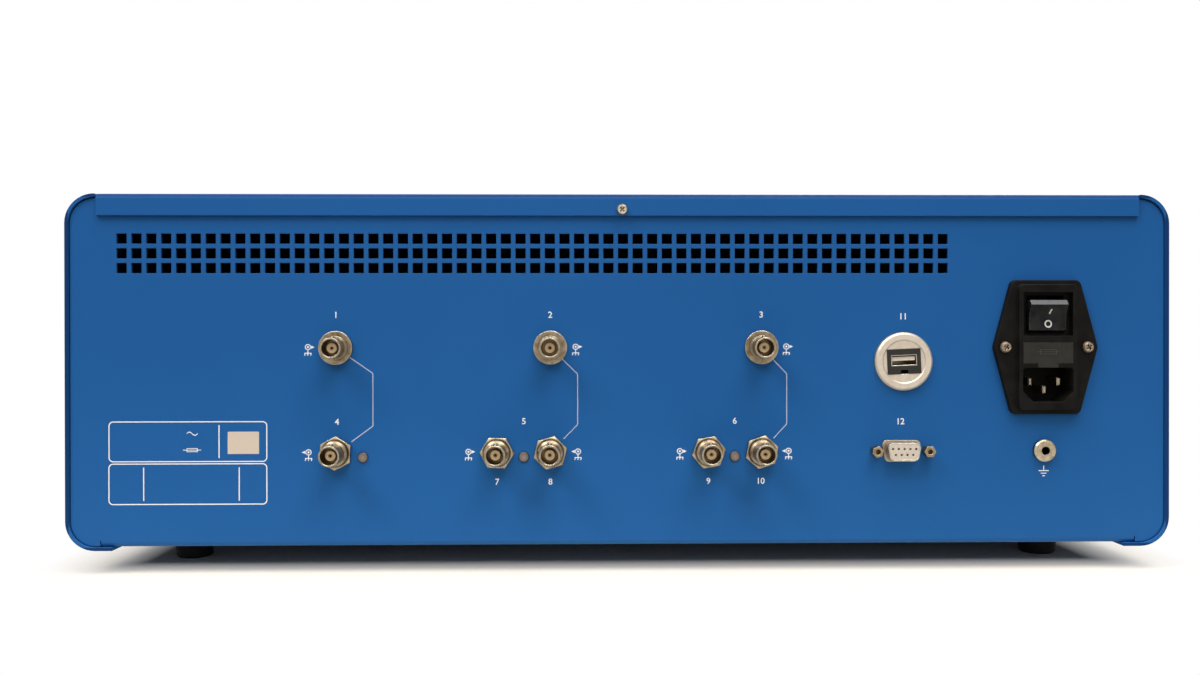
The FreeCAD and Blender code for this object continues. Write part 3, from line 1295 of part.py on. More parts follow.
def make_inlet_pins():
    """The live, neutral and earth blades that run through the inlet's body."""
    for label, (across, up) in BLADES.items():
        body = new_body(label)
        blade = new_sketch(body, "XZ_Plane", label + "_outline", "block_reach - blade_back")
        centred_rectangle(blade, "0", "0", "blade_width", "blade_height")
        length = "block_reach - blade_back + trunk_depth + blade_tail"
        bar = pad(body, label + "_blade", blade, length, reverse=True)
        doc.recompute()
        tip = size("blade_back") - size("block_reach")
        edges = face_edges(bar, lambda face, at=tip: abs(face.CenterOfMass.y - at) < NEAR)
        round_edges(body, label + "_tip", bar, edges, "blade_tip", "PartDesign::Chamfer")
        on_panel(body, "inlet_place + %s" % across, "inlet_height + %s" % up)
        keep(body)


def make_rocker():
    """The switch's rocker, hollow-faced and bevelled at both ends, on its own pivot pin.

    The hollow follows a parabola: half way to a ridge it still has three quarters of its depth.
    """
    body = new_body("power_rocker")
    profile = new_sketch(body, "YZ_Plane", "rocker_profile")
    crest = "-(rocker_reach + pivot_depth)"
    shoulder = "-(rocker_reach + pivot_depth - rocker_bevel)"
    dish = "-(rocker_reach + pivot_depth - rocker_dish)"
    half_dish = "-(rocker_reach + pivot_depth - rocker_dish * 3 / 4)"
    back = "(rocker_back - pivot_depth)"
    outline(profile, [
        (crest, "rocker_ridge"), (shoulder, "rocker_half"), (back, "rocker_foot"),
        (back, "-rocker_foot"), (shoulder, "-rocker_half"), (crest, "-rocker_ridge"),
        (half_dish, "-rocker_ridge / 2"), (dish, "0"), (half_dish, "rocker_ridge / 2")])
    pad(body, "rocker_block", profile, "rocker_width", both=True)
    pin = new_sketch(body, "YZ_Plane", "rocker_pivot_outline")
    circle(pin, "0", "0", "pivot_pin / 2")
    pad(body, "rocker_pivot", pin, "rocker_width + 2 * pivot_reach", both=True)
    place(body, "inlet_place", "pivot_depth - case_depth / 2", "foot_height + inlet_height + switch_rise",
          X_WAY, size("rocker_tilt"))
    keep(body)


def make_fuse_drawer():
    """The pull-out fuse drawer with its finger tab, and the fuse lying across its tray."""
    body = new_body("fuse_drawer")
    front = new_sketch(body, "XZ_Plane", "drawer_front_outline", "block_reach")
    half = "drawer_width / 2"
    low = "-drawer_height / 2"
    outline(front, [
        ("-" + half, "drawer_height / 2"), ("-" + half, low), ("-tab_width / 2", low),
        ("-tab_width / 2", low + " - tab_height"), ("tab_width / 2", low + " - tab_height"),
        ("tab_width / 2", low), (half, low), (half, "drawer_height / 2")])
    pad(body, "drawer_front", front, "drawer_plate", reverse=True)
    tray = new_sketch(body, "XZ_Plane", "drawer_tray_outline", "block_reach - drawer_plate")
    centred_rectangle(tray, "0", "0", "drawer_width - 2 * drawer_inset", "drawer_height - 2 * drawer_inset")
    pad(body, "drawer_tray", tray, "drawer_length", reverse=True)
    trough = new_sketch(body, "XY_Plane", "fuse_trough_outline", "drawer_height / 2")
    end = "drawer_plate + drawer_length - block_reach"
    rectangle(trough, "-fuse_length / 2 - fuse_room", "fuse_length / 2 + fuse_room",
              end + " - fuse_width - 2 * fuse_room - drawer_floor", end + " - drawer_floor")
    pocket(body, "fuse_trough", trough, "drawer_height - drawer_inset - drawer_floor")
    on_panel(body, "inlet_place", "inlet_height - drawer_drop")
    keep(body)
    make_fuse(end)


def make_fuse(tray_end):
    """The glass fuse with a cap at each end."""
    fuse = new_body("fuse")
    profile = new_sketch(fuse, "XY_Plane", "fuse_profile")
    cap = "(fuse_length / 2 - fuse_cap)"
    outline(profile, [
        ("-fuse_length / 2", "0"), ("-fuse_length / 2", "fuse_width / 2"), ("-" + cap, "fuse_width / 2"),
        ("-" + cap, "fuse_glass / 2"), (cap, "fuse_glass / 2"), (cap, "fuse_width / 2"),
        ("fuse_length / 2", "fuse_width / 2"), ("fuse_length / 2", "0")])
    revolve(fuse, "fuse_turned", profile, "X_Axis")
    along = "(%s - drawer_floor - fuse_room - fuse_width / 2) - case_depth / 2" % tray_end
    floor = "(drawer_inset + drawer_floor - drawer_height / 2)"
    place(fuse, "inlet_place", along,
          "foot_height + inlet_height - drawer_drop + %s + fuse_width / 2" % floor)
    keep(fuse)


def make_inlet_screws():
    """The two screws that hold the inlet, with their nuts behind the panel."""
    screws = []
    nuts = []
    for index, sign in enumerate(("-", "+")):
        across = "inlet_place %s inlet_pitch / 2" % sign
        screw = pan_screw("inlet_screw_%d" % index, "small_screw", "small_head", "small_head_height",
                          "(inlet_flange + sheet + small_nut_height + relief_width)")
        place(screw, across, "-case_depth / 2 - inlet_flange", "foot_height + inlet_height", Y_WAY,
              INLET_SCREW_TURNS[index])
        screws.append(screw)
        nut = hex_nut("inlet_nut_%d" % index, "small_nut_flats", "small_screw", "small_nut_height", "sheet")
        on_panel(nut, across, "inlet_height")
        nuts.append(nut)
    for index, sign in enumerate(("-", "+")):
        nut = hex_nut("serial_nut_%d" % index, "small_nut_flats", "post_shank", "small_nut_height",
                      "(sheet + serial_plate)")
        on_panel(nut, "serial_place %s serial_pitch / 2" % sign, "serial_height")
        nuts.append(nut)
    group("inlet_screws", screws)
    group("small_nuts", nuts)


# Inner units

FLOOR = "(2 * sheet)"


def make_board():
    """The circuit board on six standoffs, each with a screw from above."""
    board = new_body("main_board")
    plate = new_sketch(board, "XY_Plane", "board_outline", "%s + standoff_height" % FLOOR)
    rectangle(plate, "board_place - board_width / 2", "board_place + board_width / 2", "board_start",
              "board_start + board_depth")
    for across, along in board_screw_places():
        circle(plate, across, along, "small_screw / 2 + hole_clearance")
    pad(board, "board_plate", plate, "board_thick")
    in_case(board)
    keep(board)
    posts = []
    screws = []
    for index, (across, along) in enumerate(board_screw_places()):
        post = hex_nut("standoff_%d" % index, "standoff_flats", "small_screw", "standoff_height")
        place(post, across, "%s - case_depth / 2" % along, "foot_height + %s" % FLOOR, X_WAY, 90)
        posts.append(post)
        screw = pan_screw("board_screw_%d" % index, "small_screw", "small_head", "small_head_height",
                          "(board_thick + standoff_height / 2)")
        top = "foot_height + %s + standoff_height + board_thick" % FLOOR
        place(screw, across, "%s - case_depth / 2" % along, top, X_WAY, -90)
        screws.append(screw)
    group("board_standoffs", posts)
    group("board_screws", screws)


def make_shield():
    """The screening can over the analogue stage, open below and folded from thin sheet."""
    can = new_body("analog_shield")
    base = "%s + standoff_height + board_thick" % FLOOR
    walls = new_sketch(can, "XY_Plane", "shield_outline", base)
    middle_x = "(board_place + shield_shift)"
    middle_y = "(board_start + board_depth / 2)"
    centred_rectangle(walls, middle_x, middle_y, "shield_width", "shield_depth")
    pad(can, "shield_block", walls, "shield_height")
    inside = new_sketch(can, "XY_Plane", "shield_inside_outline", base)
    centred_rectangle(inside, middle_x, middle_y, "shield_width - 2 * shield_wall",
                      "shield_depth - 2 * shield_wall")
    pocket(can, "shield_inside", inside, "shield_height - shield_wall", reverse=True)
    in_case(can)
    keep(can)


def make_power_supply():
    """The enclosed power supply with a row of slots across its lid."""
    unit = new_body("power_supply")
    base = new_sketch(unit, "XY_Plane", "supply_outline", FLOOR)
    middle_x = "(case_width / 2 - supply_inset - supply_width / 2)"
    middle_y = "(supply_start + supply_depth / 2)"
    centred_rectangle(base, middle_x, middle_y, "supply_width", "supply_depth")
    block = pad(unit, "supply_block", base, "supply_height")
    doc.recompute()
    top = 2 * size("sheet") + size("supply_height")
    edges = straight_edges(block, Y_WAY, lambda at: abs(at.z - top) < NEAR)
    round_edges(unit, "supply_folds", block, edges, "supply_fold")
    slot = new_sketch(unit, "XY_Plane", "supply_slot_outline", "%s + supply_height" % FLOOR)
    first = "(%s - (supply_slots - 1) * supply_slot_pitch / 2)" % middle_y
    centred_rectangle(slot, middle_x, first, "supply_slot_length", "supply_slot")
    cut = pocket(unit, "first_supply_slot", slot, "supply_slot_depth")
    row = unit.newObject("PartDesign::LinearPattern", "supply_slot_row")
    row.Originals = [cut]
    row.Direction = (origin_part(unit, "Y_Axis"), [""])
    bind(row, "Length", "(supply_slots - 1) * supply_slot_pitch")
    bind(row, "Occurrences", "supply_slots")
    unit.Tip = row
    in_case(unit)
    keep(unit)


# Build, check and write

def check_model():
    """Stop if any object failed or any sub-part is empty, invalid or in the wrong number of pieces."""
    for thing in doc.Objects:
        if "Invalid" in thing.State or "Error" in thing.State:
            raise RuntimeError("%s failed: %s" % (thing.Label, thing.State))
    for thing in nodes:
        shape = thing.Shape
        if shape.isNull() or not shape.isValid() or not shape.Solids:
            raise RuntimeError("%s has no valid solid" % thing.Label)
        wanted = len(thing.Links) if thing.TypeId == "Part::Compound" else 1
        if len(shape.Solids) != wanted:
            raise RuntimeError("%s has %d solids" % (thing.Label, len(shape.Solids)))


def write_parts():
    """Write one file for each sub-part."""
    os.makedirs("parts", exist_ok=True)
    for thing in nodes:
        thing.Shape.exportStep("parts/%s.step" % thing.Label)
    print("%d sub-parts written" % len(nodes))


fill_sheet()
make_cover()
make_chassis()
make_front_panel()
make_case_screws()
make_feet()
make_jacks()
make_lamps()
make_serial()
make_data_bezel()
make_data_insert()
make_data_port()
make_data_nut()
make_earth_socket()
make_inlet_housing()
make_inlet_pins()
make_rocker()
make_fuse_drawer()
make_inlet_screws()
make_board()
make_shield()
make_power_supply()
doc.recompute()
check_model()
write_parts()
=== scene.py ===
"""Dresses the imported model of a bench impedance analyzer.

The solids keep their shape and get their finishes here. The panel's print, the marks on the switch and the
studio are made here as well. All lengths are in metres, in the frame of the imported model.
"""

import logging
import math
from abc import ABC, abstractmethod
from dataclasses import dataclass, field
from enum import Enum
from typing import Any, Protocol, Sequence

import bmesh
import bpy
from mathutils import Matrix, Vector
from mathutils.bvhtree import BVHTree


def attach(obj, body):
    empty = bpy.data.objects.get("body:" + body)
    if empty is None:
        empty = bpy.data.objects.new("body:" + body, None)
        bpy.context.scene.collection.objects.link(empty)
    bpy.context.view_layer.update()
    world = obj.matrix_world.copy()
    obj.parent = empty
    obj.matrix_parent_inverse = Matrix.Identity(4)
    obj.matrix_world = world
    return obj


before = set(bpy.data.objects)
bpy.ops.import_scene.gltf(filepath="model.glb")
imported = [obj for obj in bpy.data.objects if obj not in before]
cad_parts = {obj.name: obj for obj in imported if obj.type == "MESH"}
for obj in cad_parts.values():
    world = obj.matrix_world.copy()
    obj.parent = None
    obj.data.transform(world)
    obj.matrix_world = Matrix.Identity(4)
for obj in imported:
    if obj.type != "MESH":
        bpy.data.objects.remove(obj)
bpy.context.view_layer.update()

MM = 0.001
FOOT = 11.5 * MM
PANEL_FACE = -180.0 * MM
INK_THICKNESS = 0.05 * MM
INK_SUNK = 0.4
SEAM = 0.01 * MM
WHITE = (1.0, 1.0, 1.0, 1.0)

logger = logging.getLogger("analyzer")
Point = tuple[float, float]
Range = tuple[float, float]
Box = tuple[float, float, float, float]
Colour = tuple[float, float, float, float]


def paint(red: int, green: int, blue: int) -> Colour:
    """Turn a colour of 0 to 255 a channel, as a screen shows it, into linear light.

    Args:
        red: The red channel.
        green: The green channel.
        blue: The blue channel.

    Returns:
        The linear colour with full opacity.
    """
    shown = (channel / 255.0 for channel in (red, green, blue))
    linear = [c / 12.92 if c <= 0.04045 else ((c + 0.055) / 1.055) ** 2.4 for c in shown]
    return (linear[0], linear[1], linear[2], 1.0)


# Painted highlight: the pale grey laid on the rocker's upward faces, where light from above falls.
TOP_HIGHLIGHT = paint(132, 132, 136)
# Painted shade: the near black laid inside bores and in the holes of contacts.
BORE_SHADE = paint(30, 26, 20)
# Painted shade: the dark laid on metal in recesses and between parts.
RECESS_SHADE = paint(84, 62, 30)
# The pale colour of metal edges: partly wear, partly a painted highlight on the rims.
WORN_AND_HIGHLIT_EDGE = paint(236, 228, 210)


class Graph:
    """Short calls that fill a node tree."""

    def __init__(self, tree: bpy.types.NodeTree) -> None:
        """Empty the tree and keep it."""
        tree.nodes.clear()
        self.tree = tree

    def add(self, kind: str, inputs: dict[Any, Any] | None = None, **settings: Any) -> bpy.types.Node:
        """Add one node, set it up and join what feeds it.

        Args:
            kind: The node's type, without its usual prefix.
            inputs: For each input, by name or number, a plain value or another node's output.
            settings: The node's own options.

        Returns:
            The new node.
        """
        node = self.tree.nodes.new("ShaderNode" + kind)
        for name, value in settings.items():
            setattr(node, name, value)
        for name, value in (inputs or {}).items():
            if isinstance(value, bpy.types.NodeSocket):
                self.tree.links.new(value, node.inputs[name])
            else:
                node.inputs[name].default_value = value
        return node

    def math(self, operation: str, first: Any, second: Any = 0.0) -> bpy.types.NodeSocket:
        """Combine two numbers.

        Args:
            operation: The name of the sum, such as ADD or MAXIMUM.
            first: A number or an output.
            second: A number or an output.

        Returns:
            The output that holds the result.
        """
        return self.add("Math", {0: first, 1: second}, operation=operation).outputs[0]

    def noise(self, where: bpy.types.NodeSocket, scale: float, detail: float = 2.0) -> bpy.types.NodeSocket:
        """Add a cloud of even grain.

        Args:
            where: The coordinates it is laid in.
            scale: How many grains a metre, or a box side, has.
            detail: How much finer grain lies in it.

        Returns:
            The output that runs from 0 to 1.
        """
        inputs = {"Vector": where, "Scale": scale, "Detail": detail, "Roughness": 0.55}
        return self.add("TexNoise", inputs).outputs["Fac"]

    def spread(self, source: bpy.types.NodeSocket, low: float, high: float,
               start: float = 0.3, end: float = 0.7) -> bpy.types.NodeSocket:
        """Stretch a part of an output's range over another range.

        Args:
            source: The output to stretch.
            low: The result where the output is at start.
            high: The result where the output is at end.
            start: Where the stretch begins.
            end: Where the stretch ends.

        Returns:
            The output that holds the result.
        """
        inputs = {"Value": source, "From Min": start, "From Max": end, "To Min": low, "To Max": high}
        return self.add("MapRange", inputs).outputs["Result"]

    def blend(self, share: Any, first: Any, second: Any) -> bpy.types.NodeSocket:
        """Mix two colours.

        Args:
            share: How much of the second colour there is.
            first: A colour or an output.
            second: A colour or an output.

        Returns:
            The mixed colour's output.
        """
        node = self.add("Mix", data_type="RGBA")
        for socket, value in ((node.inputs[0], share), (node.inputs[6], first), (node.inputs[7], second)):
            if isinstance(value, bpy.types.NodeSocket):
                self.tree.links.new(value, socket)
            else:
                socket.default_value = value
        return node.outputs[2]

    def bump(self, height: bpy.types.NodeSocket, depth: float, strength: float = 1.0,
             normal: bpy.types.NodeSocket | None = None) -> bpy.types.NodeSocket:
        """Raise the surface by a height.

        Args:
            height: The output that says how high each place is.
            depth: How far a height of 1 stands out, in metres.
            strength: How much of the bump shows.
            normal: The normal that the bump starts from.

        Returns:
            The bumped normal's output.
        """
        inputs: dict[Any, Any] = {"Height": height, "Distance": depth, "Strength": strength}
        if normal is not None:
            inputs["Normal"] = normal
        return self.add("Bump", inputs).outputs["Normal"]

    def soft_edges(self, radius: float) -> bpy.types.NodeSocket:
        """Return a normal that rounds every sharp edge by a small radius."""
        return self.add("Bevel", {"Radius": radius}, samples=4).outputs["Normal"]

    def edge_turn(self, rounded: bpy.types.NodeSocket) -> bpy.types.NodeSocket:
        """Return 1 where a rounded normal is the plain one, and less where it turns round an edge."""
        plain = self.add("NewGeometry").outputs["Normal"]
        return self.add("VectorMath", {0: rounded, 1: plain}, operation="DOT_PRODUCT").outputs["Value"]

    def axis(self, where: bpy.types.NodeSocket, name: str) -> bpy.types.NodeSocket:
        """Return one part of a place or a way: its X, Y or Z."""
        return self.add("SeparateXYZ", {0: where}).outputs[name]

    def stripes(self, along: bpy.types.NodeSocket, scale: float, detail: float) -> bpy.types.NodeSocket:
        """Add uneven stripes.

        Args:
            along: The coordinate that runs across them, in metres.
            scale: How many stripes a metre has.
            detail: How much finer stripes lie in them.

        Returns:
            The output that runs from 0 to 1.
        """
        inputs = {"W": along, "Scale": scale, "Detail": detail}
        return self.add("TexNoise", inputs, noise_dimensions="1D").outputs["Fac"]

    def place(self, kind: str) -> bpy.types.NodeSocket:
        """Return the named coordinates, such as Object or Generated."""
        return self.add("TexCoord").outputs[kind]

    def rings(self, across: float) -> bpy.types.NodeSocket:
        """Return the distance from the axis that runs along Y through the piece's middle, in metres.

        Args:
            across: The width of the piece's box, in metres.

        Returns:
            The output that holds the distance.
        """
        box = self.place("Generated")
        middle = self.add("VectorMath", {0: box, 1: (0.5, 0.5, 0.5)}, operation="SUBTRACT").outputs[0]
        flat = self.add("VectorMath", {0: middle, 1: (across, 0.0, across)}, operation="MULTIPLY")
        return self.add("VectorMath", {0: flat.outputs[0]}, operation="LENGTH").outputs["Value"]


class Finish(ABC):
    """A finish that makes its material once."""

    name: str

    @abstractmethod
    def surface(self, graph: Graph) -> bpy.types.NodeSocket:
        """Fill a tree and return the output that shades the surface."""

    def material(self) -> bpy.types.Material:
        """Make the material on the first call, and find it again later.

        Returns:
            The finish's material.
        """
        known = bpy.data.materials.get(self.name)
        if known is not None:
            return known
        made = bpy.data.materials.new(self.name)
        made.use_nodes = True
        graph = Graph(made.node_tree)
        graph.add("OutputMaterial", {"Surface": self.surface(graph)})
        return made


@dataclass(frozen=True)
class PowderCoat(Finish):
    """Fine powder coat on sheet steel, with a little orange peel and softly rounded edges.

    The four rim ranges say where the cut edge of the wrap-round cover fades in: the coat there is darkened
    with painted shade.
    """

    name: str
    colour: Colour
    deep: Colour
    edge: Colour
    rim: Colour
    cloud_scale: float = 7.0
    speckle_scale: float = 2600.0
    speckle_share: float = 0.16
    peel_scale: float = 1100.0
    peel_depth: float = 0.02 * MM
    peel_strength: float = 0.5
    sheen_scale: float = 240.0
    roughness: Range = (0.42, 0.54)
    gloss: float = 0.13
    edge_radius: float = 0.45 * MM
    worn_turn: Range = (0.86, 0.99)
    worn_share: float = 0.5
    worn_on_rim: float = 0.1
    rim_side: Range = (262.1 * MM, 262.5 * MM)
    rim_top: Range = (167.6 * MM + FOOT, 168.0 * MM + FOOT)
    rim_base: Range = (1.4 * MM + FOOT, 1.7 * MM + FOOT)
    rim_front: Range = (-180.6 * MM, -180.2 * MM)

    def surface(self, graph: Graph) -> bpy.types.NodeSocket:
        """Fill a tree with the coat.

        Args:
            graph: The tree.

        Returns:
            The output that shades the surface.
        """
        where = graph.place("Object")
        clouds = graph.spread(graph.noise(where, self.cloud_scale, 3.0), 0.0, 1.0)
        speckle = graph.spread(graph.noise(where, self.speckle_scale, 1.0), 0.0, self.speckle_share)
        colour = graph.blend(clouds, self.colour, self.deep)
        colour = graph.blend(speckle, colour, self.deep)
        # Painted shade: the cut edge of the cover darkens to the rim colour.
        rim = self.on_rim(graph, where)
        colour = graph.blend(rim, colour, self.rim)
        rounded = graph.soft_edges(self.edge_radius)
        # The edges turn towards the pale edge colour: partly wear, partly a painted highlight.
        worn = graph.spread(graph.edge_turn(rounded), self.worn_share, 0.0, *self.worn_turn)
        worn = graph.math("MULTIPLY", worn, graph.spread(rim, 1.0, self.worn_on_rim, 0.0, 1.0))
        colour = graph.blend(worn, colour, self.edge)
        peel = graph.noise(where, self.peel_scale)
        roughness = graph.spread(graph.noise(where, self.sheen_scale, 3.0), *self.roughness)
        inputs = {"Base Color": colour, "Roughness": roughness, "Specular IOR Level": self.gloss,
                  "Normal": graph.bump(peel, self.peel_depth, self.peel_strength, rounded)}
        return graph.add("BsdfPrincipled", inputs).outputs[0]

    def on_rim(self, graph: Graph, where: bpy.types.NodeSocket) -> bpy.types.NodeSocket:
        """Find the cut edge of the wrap-round cover, where the coat gets painted shade.

        Args:
            graph: The tree.
            where: The coordinates of a place.

        Returns:
            The output that is 1 on the edge and 0 elsewhere.
        """
        across, along, up = graph.add("SeparateXYZ", {0: where}).outputs
        side = graph.spread(graph.math("ABSOLUTE", across), 0.0, 1.0, *self.rim_side)
        top = graph.spread(up, 0.0, 1.0, *self.rim_top)
        base = graph.spread(up, 1.0, 0.0, *self.rim_base)
        edge = graph.math("MAXIMUM", side, graph.math("MAXIMUM", top, base))
        return graph.math("MULTIPLY", edge, graph.spread(along, 1.0, 0.0, *self.rim_front))


class Tooling(Enum):
    """The marks that the last tool left on a metal piece."""

    RINGS = "rings of a lathe"
    GRAIN = "even grain"


@dataclass(frozen=True)
class PlatedMetal(Finish):
    """Plated metal with tool marks, a little tarnish, bright edges that are partly worn and partly a painted
    highlight, and painted shade in sheltered places.
    """

    name: str
    colour: Colour
    tarnish: Colour
    roughness: float
    tooling: Tooling = Tooling.GRAIN
    across: float = 16.0 * MM
    mark_depth: float = 0.012 * MM
    mark_strength: float = 0.35
    bore: float = 0.0
    bore_edge: float = 1.04
    grime: float = 0.85
    shade: Colour = RECESS_SHADE
    wear: float = 0.32 * MM
    worn_turn: Range = (0.8, 0.99)
    worn_share: float = 0.75
    stain_scale: float = 420.0
    stained: Range = (0.38, 0.72)
    ring_scale: float = 5200.0
    grain_scale: float = 1900.0
    roughness_swing: Range = (-0.06, 0.1)
    shelter: float = 3.0 * MM
    sheltered: Range = (0.35, 0.97)

    def surface(self, graph: Graph) -> bpy.types.NodeSocket:
        """Fill a tree with the metal.

        Args:
            graph: The tree.

        Returns:
            The output that shades the surface.
        """
        where = graph.place("Object")
        stain = graph.spread(graph.noise(where, self.stain_scale, 4.0), 0.0, 1.0, *self.stained)
        colour = graph.blend(stain, self.colour, self.tarnish)
        # Painted shade: the inside of a bore darkens to near black.
        if self.bore:
            inside = graph.spread(graph.rings(self.across), 1.0, 0.0, self.bore, self.bore_edge * self.bore)
            colour = graph.blend(inside, colour, BORE_SHADE)
        rounded = graph.soft_edges(self.wear)
        # Edges turn pale: partly wear, partly a painted highlight.
        worn = graph.spread(graph.edge_turn(rounded), self.worn_share, 0.0, *self.worn_turn)
        colour = graph.blend(worn, colour, WORN_AND_HIGHLIT_EDGE)
        # Painted shade: places that ambient occlusion finds sheltered darken towards the shade colour.
        openness = graph.add("AmbientOcclusion", {"Distance": self.shelter}, samples=6).outputs["AO"]
        colour = graph.blend(graph.spread(openness, self.grime, 0.0, *self.sheltered), colour, self.shade)
        marks = self.tool_marks(graph, where)
        low, high = (self.roughness + swing for swing in self.roughness_swing)
        inputs = {"Base Color": colour, "Metallic": 1.0, "Roughness": graph.spread(marks, low, high),
                  "Normal": graph.bump(marks, self.mark_depth, self.mark_strength, rounded)}
        return graph.add("BsdfPrincipled", inputs).outputs[0]

    def tool_marks(self, graph: Graph, where: bpy.types.NodeSocket) -> bpy.types.NodeSocket:
        """Lay the marks that the last tool left.

        Args:
            graph: The tree.
            where: The coordinates of a place.

        Returns:
            The output that holds the marks' height.
        """
        if self.tooling is Tooling.GRAIN:
            return graph.noise(where, self.grain_scale, 3.0)
        turned = graph.math("ADD", graph.rings(self.across), graph.axis(where, "Y"))
        return graph.stripes(turned, self.ring_scale, 3.0)


@dataclass(frozen=True)
class Moulding(Finish):
    """Moulded plastic or rubber with a fine eroded grain, paler edges that are partly worn and partly a
    painted highlight, and a painted highlight on what looks up.
    """

    name: str
    colour: Colour
    worn: Colour
    roughness: float
    gloss: float
    grain_scale: float = 1500.0
    grain_depth: float = 0.025 * MM
    edge_radius: float = 0.25 * MM
    dust: float = 0.0
    grain_strength: float = 0.5
    cloud_scale: float = 160.0
    cloud_share: float = 0.12
    worn_turn: Range = (0.86, 0.995)
    worn_share: float = 0.7
    dusty_slope: Range = (0.15, 0.6)
    roughness_swing: Range = (-0.05, 0.06)

    def surface(self, graph: Graph) -> bpy.types.NodeSocket:
        """Fill a tree with the plastic.

        Args:
            graph: The tree.

        Returns:
            The output that shades the surface.
        """
        where = graph.place("Object")
        cloud = graph.spread(graph.noise(where, self.cloud_scale, 4.0), 0.0, 1.0)
        rounded = graph.soft_edges(self.edge_radius)
        colour = graph.blend(graph.math("MULTIPLY", cloud, self.cloud_share), self.colour, self.worn)
        # Edges turn pale: partly wear, partly a painted highlight.
        worn = graph.spread(graph.edge_turn(rounded), self.worn_share, 0.0, *self.worn_turn)
        colour = graph.blend(worn, colour, self.worn)
        # Painted highlight: faces that look up turn paler, as if lit from above.
        if self.dust:
            upward = graph.axis(graph.add("NewGeometry").outputs["Normal"], "Z")
            colour = graph.blend(graph.spread(upward, 0.0, self.dust, *self.dusty_slope), colour, TOP_HIGHLIGHT)
        grain = graph.noise(where, self.grain_scale)
        low, high = (self.roughness + swing for swing in self.roughness_swing)
        inputs = {"Base Color": colour, "Roughness": graph.spread(cloud, low, high, 0.0, 1.0),
                  "Specular IOR Level": self.gloss,
                  "Normal": graph.bump(grain, self.grain_depth, self.grain_strength, rounded)}
        return graph.add("BsdfPrincipled", inputs).outputs[0]


@dataclass(frozen=True)
class LampLens(Finish):
    """An unlit indicator: a smoky lens in a dark collar."""

    name: str
    middle: Colour
    rim: Colour
    collar: Colour
    across: float = 5.9 * MM
    lens_radius: float = 2.1 * MM
    collar_edge: Range = (2.15 * MM, 2.4 * MM)
    bar_scale: float = 1400.0
    bar_share: float = 0.35
    dust_scale: float = 2400.0
    dust_depth: float = 0.01 * MM
    dust_strength: float = 0.3
    roughness: Range = (0.32, 0.5)
    edge_radius: float = 0.2 * MM

    def surface(self, graph: Graph) -> bpy.types.NodeSocket:
        """Fill a tree with the lens and its collar.

        Args:
            graph: The tree.

        Returns:
            The output that shades the surface.
        """
        where = graph.place("Object")
        radius = graph.rings(self.across)
        lens = graph.blend(graph.spread(radius, 0.0, 1.0, 0.0, self.lens_radius), self.middle, self.rim)
        bars = graph.stripes(graph.axis(where, "Z"), self.bar_scale, 1.0)
        lens = graph.blend(graph.spread(bars, 0.0, self.bar_share), lens, self.rim)
        colour = graph.blend(graph.spread(radius, 0.0, 1.0, *self.collar_edge), lens, self.collar)
        dust = graph.noise(where, self.dust_scale)
        rounded = graph.soft_edges(self.edge_radius)
        inputs = {"Base Color": colour, "Roughness": graph.spread(dust, *self.roughness), "Coat Weight": 0.25,
                  "Coat Roughness": 0.3, "Specular IOR Level": 0.3,
                  "Normal": graph.bump(dust, self.dust_depth, self.dust_strength, rounded)}
        return graph.add("BsdfPrincipled", inputs).outputs[0]


@dataclass(frozen=True)
class CircuitBoard(Finish):
    """Green solder resist over copper tracks."""

    name: str
    resist: Colour
    track: Colour
    track_scale: float = 90.0
    patch_scale: float = 45.0
    patched: Range = (0.45, 0.55)
    track_height: float = 0.035 * MM

    def surface(self, graph: Graph) -> bpy.types.NodeSocket:
        """Fill a tree with the resist and its tracks.

        Args:
            graph: The tree.

        Returns:
            The output that shades the surface.
        """
        where = graph.place("Object")
        cells = {"Vector": where, "Scale": self.track_scale, "Mortar Size": 0.06, "Brick Width": 1.4,
                 "Row Height": 0.35}
        tracks = graph.add("TexBrick", cells, offset=0.37, offset_frequency=3).outputs["Fac"]
        patches = graph.spread(graph.noise(where, self.patch_scale), 0.0, 1.0, *self.patched)
        share = graph.math("MULTIPLY", tracks, patches)
        inputs = {"Base Color": graph.blend(share, self.resist, self.track), "Roughness": 0.38,
                  "Normal": graph.bump(share, self.track_height, 0.6)}
        return graph.add("BsdfPrincipled", inputs).outputs[0]


@dataclass(frozen=True)
class GalvanisedSheet(Finish):
    """Zinc-coated sheet with its spangle."""

    name: str
    light: Colour
    dark: Colour
    spangle_scale: float = 130.0
    ripple_scale: float = 700.0
    ripple_depth: float = 0.02 * MM
    roughness: Range = (0.3, 0.5)
    edge_radius: float = 0.3 * MM

    def surface(self, graph: Graph) -> bpy.types.NodeSocket:
        """Fill a tree with the spangle.

        Args:
            graph: The tree.

        Returns:
            The output that shades the surface.
        """
        where = graph.place("Object")
        spangle = graph.add("TexVoronoi", {"Vector": where, "Scale": self.spangle_scale}).outputs["Color"]
        grey = graph.add("SeparateColor", {0: spangle}).outputs[0]
        ripple = graph.noise(where, self.ripple_scale)
        rounded = graph.soft_edges(self.edge_radius)
        inputs = {"Base Color": graph.blend(grey, self.light, self.dark), "Metallic": 1.0,
                  "Roughness": graph.spread(grey, *self.roughness, 0.0, 1.0),
                  "Normal": graph.bump(ripple, self.ripple_depth, 0.3, rounded)}
        return graph.add("BsdfPrincipled", inputs).outputs[0]


